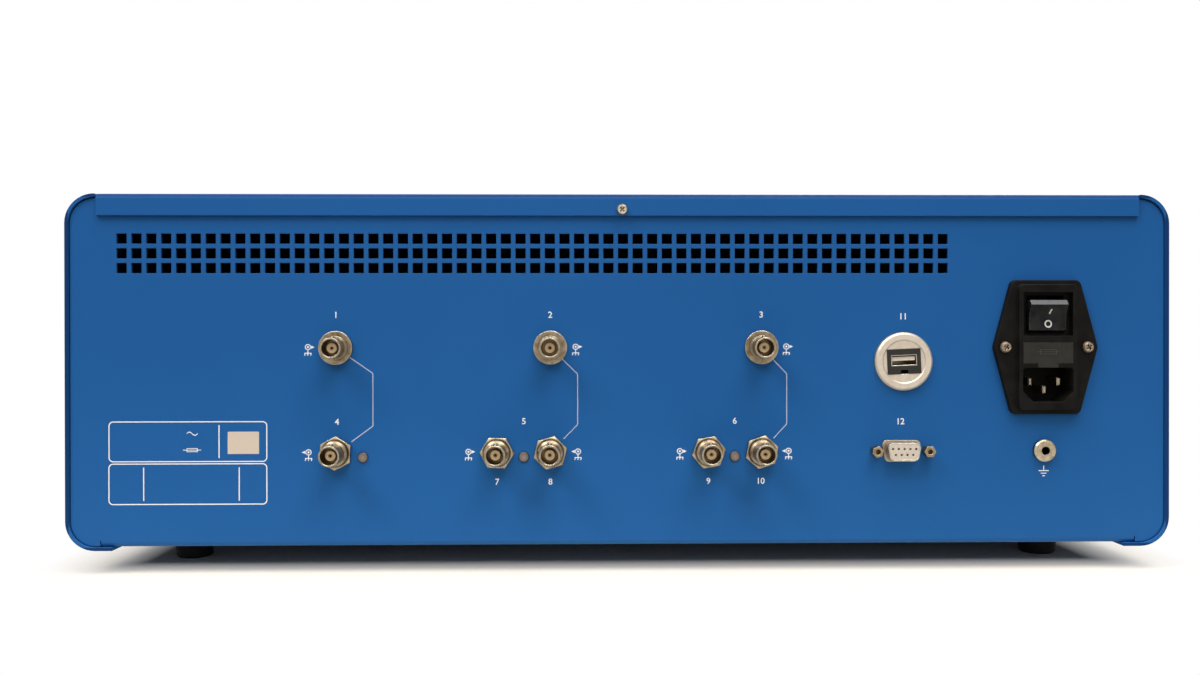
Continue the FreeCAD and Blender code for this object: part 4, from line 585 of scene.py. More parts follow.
@dataclass(frozen=True)
class FuseTube(Finish):
    """A glass tube between two metal caps that lie along X."""

    name: str
    glass: Colour
    cap: Colour
    cap_share: float = 0.27
    dent_scale: float = 900.0
    dent_depth: float = 0.02 * MM
    cap_roughness: Range = (0.2, 0.34)

    def surface(self, graph: Graph) -> bpy.types.NodeSocket:
        """Fill a tree with the glass and its caps.

        Args:
            graph: The tree.

        Returns:
            The output that shades the surface.
        """
        along = graph.axis(graph.place("Generated"), "X")
        from_middle = graph.math("ABSOLUTE", graph.math("SUBTRACT", along, 0.5))
        capped = graph.math("GREATER_THAN", from_middle, 0.5 - self.cap_share)
        dents = graph.noise(graph.place("Object"), self.dent_scale)
        clear = graph.add("BsdfPrincipled", {"Base Color": self.glass, "Roughness": 0.04,
                                             "Transmission Weight": 0.92, "IOR": 1.5})
        metal = graph.add("BsdfPrincipled", {"Base Color": self.cap, "Metallic": 1.0,
                                             "Roughness": graph.spread(dents, *self.cap_roughness),
                                             "Normal": graph.bump(dents, self.dent_depth, 0.3)})
        return graph.add("MixShader", {0: capped, 1: clear.outputs[0], 2: metal.outputs[0]}).outputs[0]


@dataclass(frozen=True)
class PrintInk(Finish):
    """Screen-printed ink that follows the coat under it."""

    name: str
    colour: Colour
    thin: Colour
    thin_scale: float = 1300.0
    thin_share: float = 0.5
    sheen_scale: float = 300.0
    roughness: Range = (0.45, 0.6)
    peel_scale: float = 1100.0
    peel_depth: float = 0.015 * MM

    def surface(self, graph: Graph) -> bpy.types.NodeSocket:
        """Fill a tree with the ink.

        Args:
            graph: The tree.

        Returns:
            The output that shades the surface.
        """
        where = graph.place("Object")
        cover = graph.spread(graph.noise(where, self.thin_scale, 3.0), 0.0, self.thin_share)
        sheen = graph.noise(where, self.sheen_scale)
        peel = graph.noise(where, self.peel_scale)
        inputs = {"Base Color": graph.blend(cover, self.colour, self.thin), "Specular IOR Level": 0.25,
                  "Roughness": graph.spread(sheen, *self.roughness),
                  "Normal": graph.bump(peel, self.peel_depth, 0.4)}
        return graph.add("BsdfPrincipled", inputs).outputs[0]


@dataclass(frozen=True)
class StudioFloor(Finish):
    """A pale floor that keeps the shadow under the instrument and shows plain white around it.

    Away from the footprint it turns white for the viewer and dimmer for the light that it throws back.
    """

    name: str
    colour: Colour
    fleck: Colour
    dim: Colour
    fleck_scale: float = 350.0
    fleck_share: float = 0.02
    footprint: tuple[float, float, float] = (0.236, 0.152, 0.0)
    whitened: Range = (0.0, 0.05)
    dimmed: Range = (0.08, 0.28)

    def surface(self, graph: Graph) -> bpy.types.NodeSocket:
        """Fill a tree with the floor.

        Args:
            graph: The tree.

        Returns:
            The output that shades the surface.
        """
        where = graph.place("Object")
        flecks = graph.spread(graph.noise(where, self.fleck_scale, 3.0), 0.0, self.fleck_share)
        colour = graph.blend(flecks, self.colour, self.fleck)
        away = self.away(graph, where)
        colour = graph.blend(graph.spread(away, 0.0, 1.0, *self.dimmed), colour, self.dim)
        matte = graph.add("BsdfDiffuse", {"Color": colour, "Roughness": 0.4})
        white = graph.add("Emission", {"Color": WHITE, "Strength": 1.0})
        fade = graph.spread(away, 0.0, 1.0, *self.whitened)
        share = graph.math("MULTIPLY", fade, seen_as_background(graph))
        return graph.add("MixShader", {0: share, 1: matte.outputs[0], 2: white.outputs[0]}).outputs[0]

    def away(self, graph: Graph, where: bpy.types.NodeSocket) -> bpy.types.NodeSocket:
        """Measure how far a place lies outside the instrument's footprint.

        Args:
            graph: The tree.
            where: The coordinates of the place.

        Returns:
            The output that holds the distance, in metres.
        """
        spans = graph.add("VectorMath", {0: where}, operation="ABSOLUTE")
        past = graph.add("VectorMath", {0: spans.outputs[0], 1: self.footprint}, operation="SUBTRACT")
        outside = graph.add("VectorMath", {0: past.outputs[0], 1: (0.0, 0.0, 0.0)}, operation="MAXIMUM")
        return graph.add("VectorMath", {0: outside.outputs[0]}, operation="LENGTH").outputs["Value"]


def seen_as_background(graph: Graph) -> bpy.types.NodeSocket:
    """Tell the rays that show the background: the camera's, and those that metal and glass send on.

    Args:
        graph: The tree.

    Returns:
        The output that is 1 for those rays and 0 for the others.
    """
    path = graph.add("LightPath").outputs
    mirrored = graph.math("MAXIMUM", path["Is Glossy Ray"], path["Is Transmission Ray"])
    return graph.math("MAXIMUM", path["Is Camera Ray"], mirrored)


# The third colour is the pale edge, partly wear and partly a painted highlight; the last is the painted shade
# on the cover's cut edge.
BLUE_COAT = PowderCoat("blue_coat", paint(33, 98, 166), paint(30, 94, 160), paint(72, 120, 178),
                       paint(10, 56, 108))
JACK_NICKEL = PlatedMetal("jack_nickel", paint(162, 146, 120), paint(108, 92, 68), 0.27, Tooling.RINGS,
                          wear=0.5 * MM)
NUT_NICKEL = PlatedMetal("nut_nickel", paint(192, 174, 144), paint(136, 116, 86), 0.24, wear=0.5 * MM)
# The contacts' recessed parts get painted shade, all the way to the near black of a bore.
PIN_GOLD = PlatedMetal("contact_plate", paint(178, 154, 114), paint(140, 116, 80), 0.3, grime=1.0,
                       wear=0.1 * MM, shade=BORE_SHADE)
ZINC = PlatedMetal("zinc_plate", paint(196, 186, 168), paint(150, 136, 112), 0.3)
DULL_ZINC = PlatedMetal("dull_zinc_plate", paint(146, 128, 106), paint(118, 100, 80), 0.36)
POST_ZINC = PlatedMetal("post_zinc_plate", paint(168, 146, 112), paint(128, 106, 74), 0.3, grime=0.4)
TIN = PlatedMetal("tin_plate", paint(204, 194, 176), paint(166, 154, 134), 0.3)
SATIN = PlatedMetal("satin_ring", paint(204, 191, 174), paint(194, 180, 162), 0.5, Tooling.RINGS, 28.2 * MM,
                    grime=0.5)
EARTH_PLATE = PlatedMetal("earth_plate", paint(196, 182, 156), paint(156, 136, 104), 0.26, Tooling.RINGS,
                          10.8 * MM, bore=2.1 * MM)
BLADE_PLATE = PlatedMetal("blade_plate", paint(168, 154, 126), paint(122, 106, 80), 0.28)
BRASS = PlatedMetal("plain_brass", paint(190, 156, 92), paint(150, 116, 62), 0.3)
CREAM = Moulding("cream_insulator_plastic", paint(250, 222, 178), paint(252, 234, 200), 0.42, 0.35)
PALE_PLASTIC = Moulding("pale_insulator_plastic", paint(211, 201, 187), paint(222, 214, 202), 0.45, 0.3)
TONGUE_PLASTIC = Moulding("pale_tongue_plastic", paint(246, 238, 222), paint(250, 244, 232), 0.42, 0.3)
BLACK_PLASTIC = Moulding("black_inlet_plastic", paint(14, 13, 11), paint(70, 69, 65), 0.5, 0.07)
DRAWER_PLASTIC = Moulding("black_drawer_plastic", paint(42, 41, 38), paint(96, 94, 88), 0.5, 0.13)
INSERT_PLASTIC = Moulding("black_insert_plastic", paint(40, 38, 35), paint(80, 76, 70), 0.45, 0.25)
# The rocker's last setting lays a painted highlight on its upward faces.
ROCKER_PLASTIC = Moulding("black_rocker_plastic", paint(9, 9, 10), paint(120, 120, 124), 0.3, 0.12,
                          600.0, 0.004 * MM, 0.3 * MM, 0.5)
RUBBER = Moulding("foot_rubber", paint(24, 24, 24), paint(52, 50, 48), 0.7, 0.2, 900.0, 0.05 * MM)
LENS = LampLens("smoky_lens", paint(150, 138, 130), paint(104, 92, 86), paint(26, 30, 38))
RESIST = CircuitBoard("green_resist", paint(22, 84, 46), paint(48, 118, 66))
SPANGLE = GalvanisedSheet("galvanised_sheet", paint(190, 190, 188), paint(150, 152, 152))
FUSE = FuseTube("fuse_tube", paint(240, 240, 236), paint(204, 200, 190))
WHITE_INK = PrintInk("white_ink", paint(252, 252, 252), paint(232, 238, 246))
PATCH_PAPER = PrintInk("blank_patch_paper", paint(220, 206, 190), paint(212, 197, 180))
MARK_INK = PrintInk("switch_mark_ink", paint(228, 228, 226), paint(205, 205, 203))
MOULDED_SIGN = PrintInk("moulded_sign", paint(74, 72, 67), paint(62, 60, 56))
FLOOR = StudioFloor("studio_floor", paint(250, 232, 208), (0.8, 0.78, 0.75, 1.0), paint(112, 106, 100))


class Wardrobe:
    """Keeps which solids have their finish."""

    dressed: set[str] = set()

    @classmethod
    def dress(cls, finish: Finish, *nodes: str) -> None:
        """Give solids a finish.

        Args:
            finish: The finish they get.
            nodes: The solids' names.
        """
        for name in nodes:
            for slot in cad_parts[name].material_slots:
                slot.material = finish.material()
            cls.dressed.add(name)
            logger.info("solid %s gets %s", name, finish.name)

    @classmethod
    def check(cls) -> None:
        """Stop if a solid has no finish."""
        bare = sorted(set(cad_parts) - cls.dressed)
        if bare:
            raise ValueError("no finish for " + ", ".join(bare))


def add_piece(name: str, mesh: bpy.types.Mesh, finish: Finish, body: str) -> bpy.types.Object:
    """Put a new piece in the scene and let it ride on a body.

    Args:
        name: The piece's name.
        mesh: Its mesh, in the model's frame.
        finish: Its finish.
        body: The body that carries it.

    Returns:
        The new object.
    """
    mesh.name = name
    mesh.materials.clear()
    mesh.materials.append(finish.material())
    piece = bpy.data.objects.new(name, mesh)
    bpy.context.scene.collection.objects.link(piece)
    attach(piece, body)
    logger.info("piece %s rides on %s", name, body)
    return piece


class Ground(Protocol):
    """A face that takes print."""

    def at(self, across: float, up: float, lift: float) -> Vector:
        """Return the place over a point of the face, lifted off it."""


@dataclass(frozen=True)
class FlatGround:
    """A flat face that looks along -Y."""

    face: float = PANEL_FACE

    def at(self, across: float, up: float, lift: float) -> Vector:
        """Return the place over a point of the face, lifted off it."""
        return Vector((across, self.face - lift, up))


class SolidGround:
    """The real, curved face of a solid, met by a line that runs along its turned Y axis."""

    start: float = 30.0 * MM

    def __init__(self, node: str, origin: Vector, tilt: float) -> None:
        """Keep the solid's faces and its turned frame.

        Args:
            node: The solid's name.
            origin: Where the face's own places start.
            tilt: How far the face leans back, in radians.
        """
        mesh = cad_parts[node].data
        places = [vertex.co.copy() for vertex in mesh.vertices]
        self.faces = BVHTree.FromPolygons(places, [tuple(face.vertices) for face in mesh.polygons])
        self.origin = origin
        self.turn = Matrix.Rotation(tilt, 3, "X")

    def at(self, across: float, up: float, lift: float) -> Vector:
        """Return the place over a point of the face, lifted off it.

        Args:
            across: How far to the side of the origin.
            up: How far up the face from the origin.
            lift: How far off the face.

        Returns:
            The place, in the model's frame.
        """
        inward = self.turn @ Vector((0.0, 1.0, 0.0))
        outside = self.origin + self.turn @ Vector((across, -self.start, up))
        hit = self.faces.ray_cast(outside, inward)[0]
        if hit is None:
            raise ValueError("a mark lies beside the face that should carry it")
        return hit - inward * lift


class InkLayer:
    """A thin layer of ink, built from closed flat figures."""

    def __init__(self, ground: Ground, thickness: float = INK_THICKNESS) -> None:
        """Start an empty layer.

        Args:
            ground: The face that it lies on.
            thickness: How far it stands out from the face.
        """
        self.ground = ground
        self.thickness = thickness
        self.mesh = bmesh.new()

    def _ring(self, outline: Sequence[Point], lift: float) -> list[bmesh.types.BMVert]:
        """Return an outline's new corners, lifted off the face."""
        return [self.mesh.verts.new(self.ground.at(across, up, lift)) for across, up in outline]

    def figure(self, outline: Sequence[Point]) -> None:
        """Add a filled figure.

        Args:
            outline: Its corners, against the clock as one looks at the face.
        """
        top = self._ring(outline, self.thickness)
        base = self._ring(outline, -INK_SUNK * self.thickness)
        self.mesh.faces.new(top)
        self.mesh.faces.new(base[::-1])
        for index, corner in enumerate(top):
            after = (index + 1) % len(top)
            self.mesh.faces.new((base[index], base[after], top[after], corner))

    def band(self, outer: Sequence[Point], inner: Sequence[Point]) -> None:
        """Add a closed band between two outlines with as many corners each.

        Args:
            outer: The outer outline, against the clock.
            inner: The inner outline, against the clock.
        """
        sunk = -INK_SUNK * self.thickness
        rings = [self._ring(outer, self.thickness), self._ring(inner, self.thickness),
                 self._ring(inner, sunk), self._ring(outer, sunk)]
        count = len(outer)
        for ring, following in zip(rings, rings[1:] + rings[:1]):
            for index in range(count):
                after = (index + 1) % count
                self.mesh.faces.new((ring[index], ring[after], following[after], following[index]))

    def to_mesh(self) -> bpy.types.Mesh:
        """Close the layer.

        Returns:
            The layer's mesh.
        """
        bmesh.ops.recalc_face_normals(self.mesh, faces=self.mesh.faces[:])
        made = bpy.data.meshes.new("ink")
        self.mesh.to_mesh(made)
        self.mesh.free()
        return made


def circle(across: float, up: float, radius: float, count: int = 32) -> list[Point]:
    """Return the corners of a round outline, against the clock.

    Args:
        across: Its middle, across.
        up: Its middle, up.
        radius: Its radius.
        count: How many corners it has.

    Returns:
        The corners.
    """
    turns = (2.0 * math.pi * index / count for index in range(count))
    return [(across + radius * math.cos(turn), up + radius * math.sin(turn)) for turn in turns]


def block(left: float, low: float, right: float, high: float) -> list[Point]:
    """Return the corners of a plain rectangle, against the clock."""
    return [(left, low), (right, low), (right, high), (left, high)]


def soft_block(left: float, low: float, right: float, high: float, radius: float,
               steps: int = 8) -> list[Point]:
    """Return the corners of a rectangle with round corners, against the clock.

    Args:
        left: Its left edge.
        low: Its lower edge.
        right: Its right edge.
        high: Its upper edge.
        radius: The radius of its corners.
        steps: How many pieces each round corner has.

    Returns:
        The corners.
    """
    middles = ((right - radius, high - radius, 0), (left + radius, high - radius, 1),
               (left + radius, low + radius, 2), (right - radius, low + radius, 3))
    outline = []
    for across, up, quarter in middles:
        for step in range(steps + 1):
            turn = (quarter + step / steps) * math.pi / 2.0
            outline.append((across + radius * math.cos(turn), up + radius * math.sin(turn)))
    return outline


class Flow(Enum):
    """Which way a signal goes at a jack."""

    IN = "in"
    OUT = "out"


@dataclass(frozen=True)
class JackSign:
    """The small sign beside a jack: a coaxial ring, an arrow for the signal's way and a chassis comb."""

    name: str
    across: float
    up: float
    side: int
    ring: float
    flow: Flow
    lift: float = 0.35 * MM
    ring_radius: float = 1.45 * MM
    core_radius: float = 0.5 * MM
    stroke: float = 0.42 * MM
    arrow: float = 1.7 * MM
    arrow_half: float = 0.8 * MM
    arrow_gap: float = 0.1 * MM
    comb: float = 3.4 * MM
    comb_drop: float = 2.9 * MM
    teeth: tuple[float, ...] = (-0.38, 0.04, 0.46)
    tooth_length: float = 0.95 * MM
    tooth_lean: float = 0.5 * MM

    def mesh(self) -> bpy.types.Mesh:
        """Draw the sign.

        Returns:
            Its mesh.
        """
        layer = InkLayer(FlatGround())
        across = self.across + self.side * self.ring
        up = self.up + self.lift
        half = self.stroke / 2
        layer.band(circle(across, up, self.ring_radius), circle(across, up, self.ring_radius - self.stroke))
        layer.figure(circle(across, up, self.core_radius, 20))
        way = -self.side if self.flow is Flow.IN else self.side
        base = across + way * (self.ring_radius + self.arrow_gap)
        tip = base + way * self.arrow
        head = [(base, up - self.arrow_half), (tip, up), (base, up + self.arrow_half)]
        layer.figure(head if way > 0 else head[::-1])
        bar = up - self.comb_drop
        layer.figure(block(across - half, bar + half, across + half, up - self.ring_radius - 2 * SEAM))
        layer.figure(block(across - self.comb / 2, bar - half, across + self.comb / 2, bar + half))
        low = bar - half - self.tooth_length
        high = bar - half - SEAM
        for share in self.teeth:
            top = across + share * self.comb
            foot = top - self.tooth_lean
            layer.figure([(foot, low), (foot + self.stroke, low), (top + half, high), (top - half, high)])
        return layer.to_mesh()


@dataclass(frozen=True)
class DottedLink:
    """A line of dots that joins two jacks past their edges."""

    name: str
    across: float
    top: float
    bottom: float
    reach: float
    upper_bend: float
    lower_bend: float
    pitch: float = 0.8 * MM
    dot: float = 0.25 * MM
    start_gap: float = 8.4 * MM
    end_gap: float = 8.7 * MM

    def route(self) -> list[Vector]:
        """Find the corners of the line.

        Returns:
            The corners, from the upper jack to the lower one.
        """
        bends = [Vector((self.across + self.reach, bend)) for bend in (self.upper_bend, self.lower_bend)]
        upper = Vector((self.across, self.top))
        lower = Vector((self.across, self.bottom))
        first = upper + (bends[0] - upper).normalized() * self.start_gap
        last = lower + (bends[1] - lower).normalized() * self.end_gap
        return [first, bends[0], bends[1], last]

    def mesh(self) -> bpy.types.Mesh:
        """Draw the dots.

        Returns:
            Their mesh.
        """
        layer = InkLayer(FlatGround())
        corners = self.route()
        left_over = 0.0
        for start, end in zip(corners, corners[1:]):
            run = (end - start).length
            way = (end - start).normalized()
            while left_over <= run:
                spot = start + way * left_over
                layer.figure(circle(spot.x, spot.y, self.dot, 10))
                left_over += self.pitch
            left_over -= run
        return layer.to_mesh()


@dataclass(frozen=True)
class PrintedNumber:
    """A plain number that tells one connector from the next."""

    number: int
    across: float
    up: float
    height: float = 3.0 * MM
    weight: float = 0.016
    thickness: float = 0.1
    smoothness: int = 6
    join: float = 0.002 * MM

    def mesh(self) -> bpy.types.Mesh:
        """Draw the number, upright on the panel.

        Returns:
            Its mesh.
        """
        words = bpy.data.curves.new("number", "FONT")
        words.body = str(self.number)
        words.extrude = self.thickness
        words.offset = self.weight
        words.resolution_u = self.smoothness
        stand_in = bpy.data.objects.new("number", words)
        bpy.context.scene.collection.objects.link(stand_in)
        bpy.context.view_layer.update()
        made = bpy.data.meshes.new_from_object(stand_in.evaluated_get(bpy.context.evaluated_depsgraph_get()))
        bpy.data.objects.remove(stand_in)
        bpy.data.curves.remove(words)
        self.lay_down(made)
        tidy = bmesh.new()
        tidy.from_mesh(made)
        bmesh.ops.remove_doubles(tidy, verts=tidy.verts[:], dist=self.join)
        bmesh.ops.recalc_face_normals(tidy, faces=tidy.faces[:])
        tidy.to_mesh(made)
        tidy.free()
        return made

    def lay_down(self, made: bpy.types.Mesh) -> None:
        """Scale a number and lay it on the panel.

        Args:
            made: The number's mesh, as the type drew it.
        """
        lows = [min(vertex.co[axis] for vertex in made.vertices) for axis in range(3)]
        highs = [max(vertex.co[axis] for vertex in made.vertices) for axis in range(3)]
        scale = self.height / (highs[1] - lows[1])
        middle = (Vector(lows) + Vector(highs)) / 2.0
        half = INK_THICKNESS / 2.0
        for vertex in made.vertices:
            flat = (vertex.co - middle) * scale
            depth = half if vertex.co.z > middle.z else -half
            vertex.co = Vector((self.across + flat.x, PANEL_FACE - half - depth, self.up + flat.y))


def draw_fuse(layer: InkLayer, middle: Point, half: Point, lead: float, thin: float) -> None:
    """Draw the sign of a fuse, a box on a line.

    Args:
        layer: The layer that takes it.
        middle: The middle of the box.
        half: Half of the box's width, and half of its height.
        lead: How far the line stands out on each side.
        thin: How wide the line is.
    """
    across, up = middle
    left, right = across - half[0], across + half[0]
    low, high = up - half[1], up + half[1]
    layer.band(block(left, low, right, high), block(left + thin, low + thin, right - thin, high - thin))
    for start, end in ((left - lead, left - SEAM), (left + thin, right - thin), (right + SEAM, right + lead)):
        layer.figure(block(start, up - thin / 2.0, end, up + thin / 2.0))


@dataclass
class PanelPrint:
    """All that is printed on the connector panel."""

    generator: float = -136.4 * MM
    channel_1: float = -34.4 * MM
    channel_2: float = 66.7 * MM
    pair: float = 25.4 * MM
    upper_row: float = 96.1 * MM + FOOT
    lower_row: float = 46.0 * MM + FOOT
    title_row: float = 111.8 * MM + FOOT
    group_row: float = 60.9 * MM + FOOT
    group_shift: float = 0.4 * MM
    foot_row: float = 32.0 * MM + FOOT
    data_title: Point = (135.2 * MM, 110.9 * MM + FOOT)
    serial_title: Point = (134.2 * MM, 60.4 * MM + FOOT)
    link_reaches: tuple[float, ...] = (17.5 * MM, 13.05 * MM, 12.3 * MM)
    first_bends: Point = (83.9 * MM + FOOT, 58.8 * MM + FOOT)
    other_bends: Point = (83.4 * MM + FOOT, 59.3 * MM + FOOT)
    line: float = 0.5 * MM
    frame_corner: float = 2.2 * MM
    divider_gap: float = 1.9 * MM
    upper_frame: Box = (-243.9 * MM, 41.9 * MM + FOOT, -169.0 * MM, 61.3 * MM + FOOT)
    upper_dividers: tuple[float, ...] = (-191.8 * MM,)
    lower_frame: Box = (-244.0 * MM, 21.6 * MM + FOOT, -169.0 * MM, 41.3 * MM + FOOT)
    lower_dividers: tuple[float, ...] = (-227.4 * MM, -182.3 * MM)
    patch: Box = (-187.7 * MM, 45.7 * MM + FOOT, -172.9 * MM, 56.3 * MM + FOOT)
    patch_corner: float = 0.3 * MM
    patch_thickness: float = 0.1 * MM
    earth_place: Point = (203.4 * MM, 36.4 * MM + FOOT)
    earth_stroke: float = 0.45 * MM
    earth_stem: float = 2.4 * MM
    earth_bars: tuple[float, ...] = (4.9 * MM, 2.7 * MM, 1.2 * MM)
    earth_pitch: float = 1.25 * MM
    wave_place: Point = (-204.5 * MM, 55.4 * MM + FOOT)
    wave_half: Point = (2.6 * MM, 0.75 * MM)
    wave_stroke: float = 0.44 * MM
    wave_steps: int = 24
    fuse_place: Point = (-204.5 * MM, 47.6 * MM + FOOT)
    fuse_half: Point = (2.6 * MM, 0.9 * MM)
    fuse_lead: float = 1.7 * MM
    fuse_stroke: float = 0.3 * MM
    slot: str = "white_plastic"

    def numbers(self) -> list[PrintedNumber]:
        """Place the numbers.

        Returns:
            The numbers, in the order that one reads the panel.
        """
        half = self.pair / 2.0
        places = [(column, self.title_row) for column in (self.generator, self.channel_1, self.channel_2)]
        places.append((self.generator + self.group_shift, self.group_row))
        places += [(column - half, self.group_row) for column in (self.channel_1, self.channel_2)]
        places += [(column - shift, self.foot_row) for column in (self.channel_1, self.channel_2)
                   for shift in (self.pair, 0.0)]
        places += [self.data_title, self.serial_title]
        return [PrintedNumber(index + 1, across, up) for index, (across, up) in enumerate(places)]

    def signs(self) -> list[JackSign]:
        """Place the small signs beside the jacks.

        Returns:
            The signs, the upper left one first.
        """
        top, low = self.upper_row, self.lower_row
        signs = [JackSign("generator_in_sign", self.generator, top, -1, 13.3 * MM, Flow.IN),
                 JackSign("generator_out_sign", self.generator, low, -1, 13.1 * MM, Flow.OUT),
                 JackSign("voltage_out_sign", self.channel_1, top, 1, 12.1 * MM, Flow.OUT),
                 JackSign("current_out_sign", self.channel_2, top, 1, 12.1 * MM, Flow.OUT)]
        for name, column in (("channel_1", self.channel_1), ("channel_2", self.channel_2)):
            signs.append(JackSign(name + "_aux_sign", column - self.pair, low, -1, 13.7 * MM, Flow.IN))
            signs.append(JackSign(name + "_main_sign", column, low, 1, 13.2 * MM, Flow.IN))
        return signs

    def links(self) -> list[DottedLink]:
        """Place the dotted lines between the jacks.

        Returns:
            The lines, the left one first.
        """
        names = ("generator_link", "channel_1_link", "channel_2_link")
        columns = (self.generator, self.channel_1, self.channel_2)
        bends = (self.first_bends, self.other_bends, self.other_bends)
        return [DottedLink(name, column, self.upper_row, self.lower_row, reach, *bend)
                for name, column, reach, bend in zip(names, columns, self.link_reaches, bends)]

    def frame_layer(self, box: Box, dividers: Sequence[float]) -> bpy.types.Mesh:
        """Draw an empty printed frame.

        Args:
            box: Its left, lower, right and upper edge.
            dividers: Where its upright lines stand.

        Returns:
            The frame's mesh.
        """
        layer = InkLayer(FlatGround())
        left, low, right, high = box
        thin = self.line
        layer.band(soft_block(left, low, right, high, self.frame_corner),
                   soft_block(left + thin, low + thin, right - thin, high - thin, self.frame_corner - thin))
        for across in dividers:
            left, right = across - thin / 2.0, across + thin / 2.0
            layer.figure(block(left, low + self.divider_gap, right, high - self.divider_gap))
        return layer.to_mesh()

    def patch_layer(self) -> bpy.types.Mesh:
        """Draw the blank paper patch in the upper frame.

        Returns:
            Its mesh.
        """
        layer = InkLayer(FlatGround(), self.patch_thickness)
        layer.figure(soft_block(*self.patch, self.patch_corner, 3))
        return layer.to_mesh()

    def earth_sign(self) -> bpy.types.Mesh:
        """Draw the earth sign under its socket.

        Returns:
            Its mesh.
        """
        layer = InkLayer(FlatGround())
        across, up = self.earth_place
        half = self.earth_stroke / 2.0
        layer.figure(block(across - half, up + half, across + half, up + self.earth_stem))
        for index, width in enumerate(self.earth_bars):
            height = up - index * self.earth_pitch
            layer.figure(block(across - width / 2.0, height - half, across + width / 2.0, height + half))
        return layer.to_mesh()

    def supply_signs(self) -> bpy.types.Mesh:
        """Draw the plain signs for alternating current and for a fuse, in the upper frame.

        Returns:
            Their mesh.
        """
        layer = InkLayer(FlatGround())
        across, up = self.wave_place
        half = self.wave_stroke / 2.0
        upper, lower = [], []
        for step in range(self.wave_steps + 1):
            share = step / self.wave_steps
            middle = across + (share - 0.5) * 2.0 * self.wave_half[0]
            height = up + math.sin(share * 2.0 * math.pi) * self.wave_half[1]
            upper.append((middle, height + half))
            lower.append((middle, height - half))
        for index in range(self.wave_steps):
            layer.figure([lower[index], lower[index + 1], upper[index + 1], upper[index]])
        draw_fuse(layer, self.fuse_place, self.fuse_half, self.fuse_lead, self.fuse_stroke)
        return layer.to_mesh()

    def lay(self, name: str, mesh: bpy.types.Mesh, finish: Finish = WHITE_INK) -> None:
        """Lay one print on the case."""
        add_piece(name, mesh, finish, "case")

    def build(self) -> None:
        """Draw and lay every print."""
        for number in self.numbers():
            self.lay("number_%d" % number.number, number.mesh())
        for figure in self.signs() + self.links():
            self.lay(figure.name, figure.mesh())
        self.lay("upper_blank_frame", self.frame_layer(self.upper_frame, self.upper_dividers))
        self.lay("lower_blank_frame", self.frame_layer(self.lower_frame, self.lower_dividers))
        self.lay("blank_patch", self.patch_layer(), PATCH_PAPER)
        self.lay("earth_sign", self.earth_sign())
        self.lay("supply_signs", self.supply_signs())


@dataclass
class CaseWork:
    """The folded cover, the chassis, the front panel, their fasteners and the feet."""

    coated: tuple[str, ...] = ("cover", "chassis", "front_panel")
    fasteners: tuple[str, ...] = ("cover_screw", "front_panel_screws", "clinch_nuts", "small_nuts",
                                  "foot_screws", "foot_nuts")
    feet: tuple[str, ...] = ("rear_left_foot", "rear_right_foot", "front_left_foot", "front_right_foot")

    def build(self) -> None:
        """Dress the case."""
        Wardrobe.dress(BLUE_COAT, *self.coated)
        Wardrobe.dress(ZINC, *self.fasteners)
        Wardrobe.dress(RUBBER, *self.feet)


@dataclass
class Connectors:
    """The coaxial jacks, the indicators, the serial connector, the data socket and the earth socket."""

    jacks: tuple[str, ...] = ("generator_in_jack", "voltage_out_jack", "current_out_jack",
                              "generator_out_jack", "channel_1_aux_jack", "channel_1_main_jack",
                              "channel_2_aux_jack", "channel_2_main_jack", "high_current_jack",
                              "high_voltage_jack", "low_voltage_jack", "low_current_jack")
    lamps: tuple[str, ...] = ("generator_lamp", "channel_1_lamp", "channel_2_lamp", "power_lamp")

    def build(self) -> None:
        """Dress the connectors."""
        Wardrobe.dress(JACK_NICKEL, *self.jacks)
        Wardrobe.dress(NUT_NICKEL, "panel_jack_nuts", "back_jack_nuts")
        Wardrobe.dress(CREAM, "flange_jack_insulators", "nut_jack_insulators")
        Wardrobe.dress(PIN_GOLD, "jack_contacts")
        Wardrobe.dress(LENS, *self.lamps)
        Wardrobe.dress(TIN, "serial_shell", "data_port_shell")
        Wardrobe.dress(PALE_PLASTIC, "serial_insulator")
        Wardrobe.dress(TONGUE_PLASTIC, "data_tongue")
        Wardrobe.dress(POST_ZINC, "serial_jack_screws")
        Wardrobe.dress(SATIN, "data_bezel", "data_nut")
        Wardrobe.dress(INSERT_PLASTIC, "data_insert")
        Wardrobe.dress(EARTH_PLATE, "earth_socket", "earth_nut")


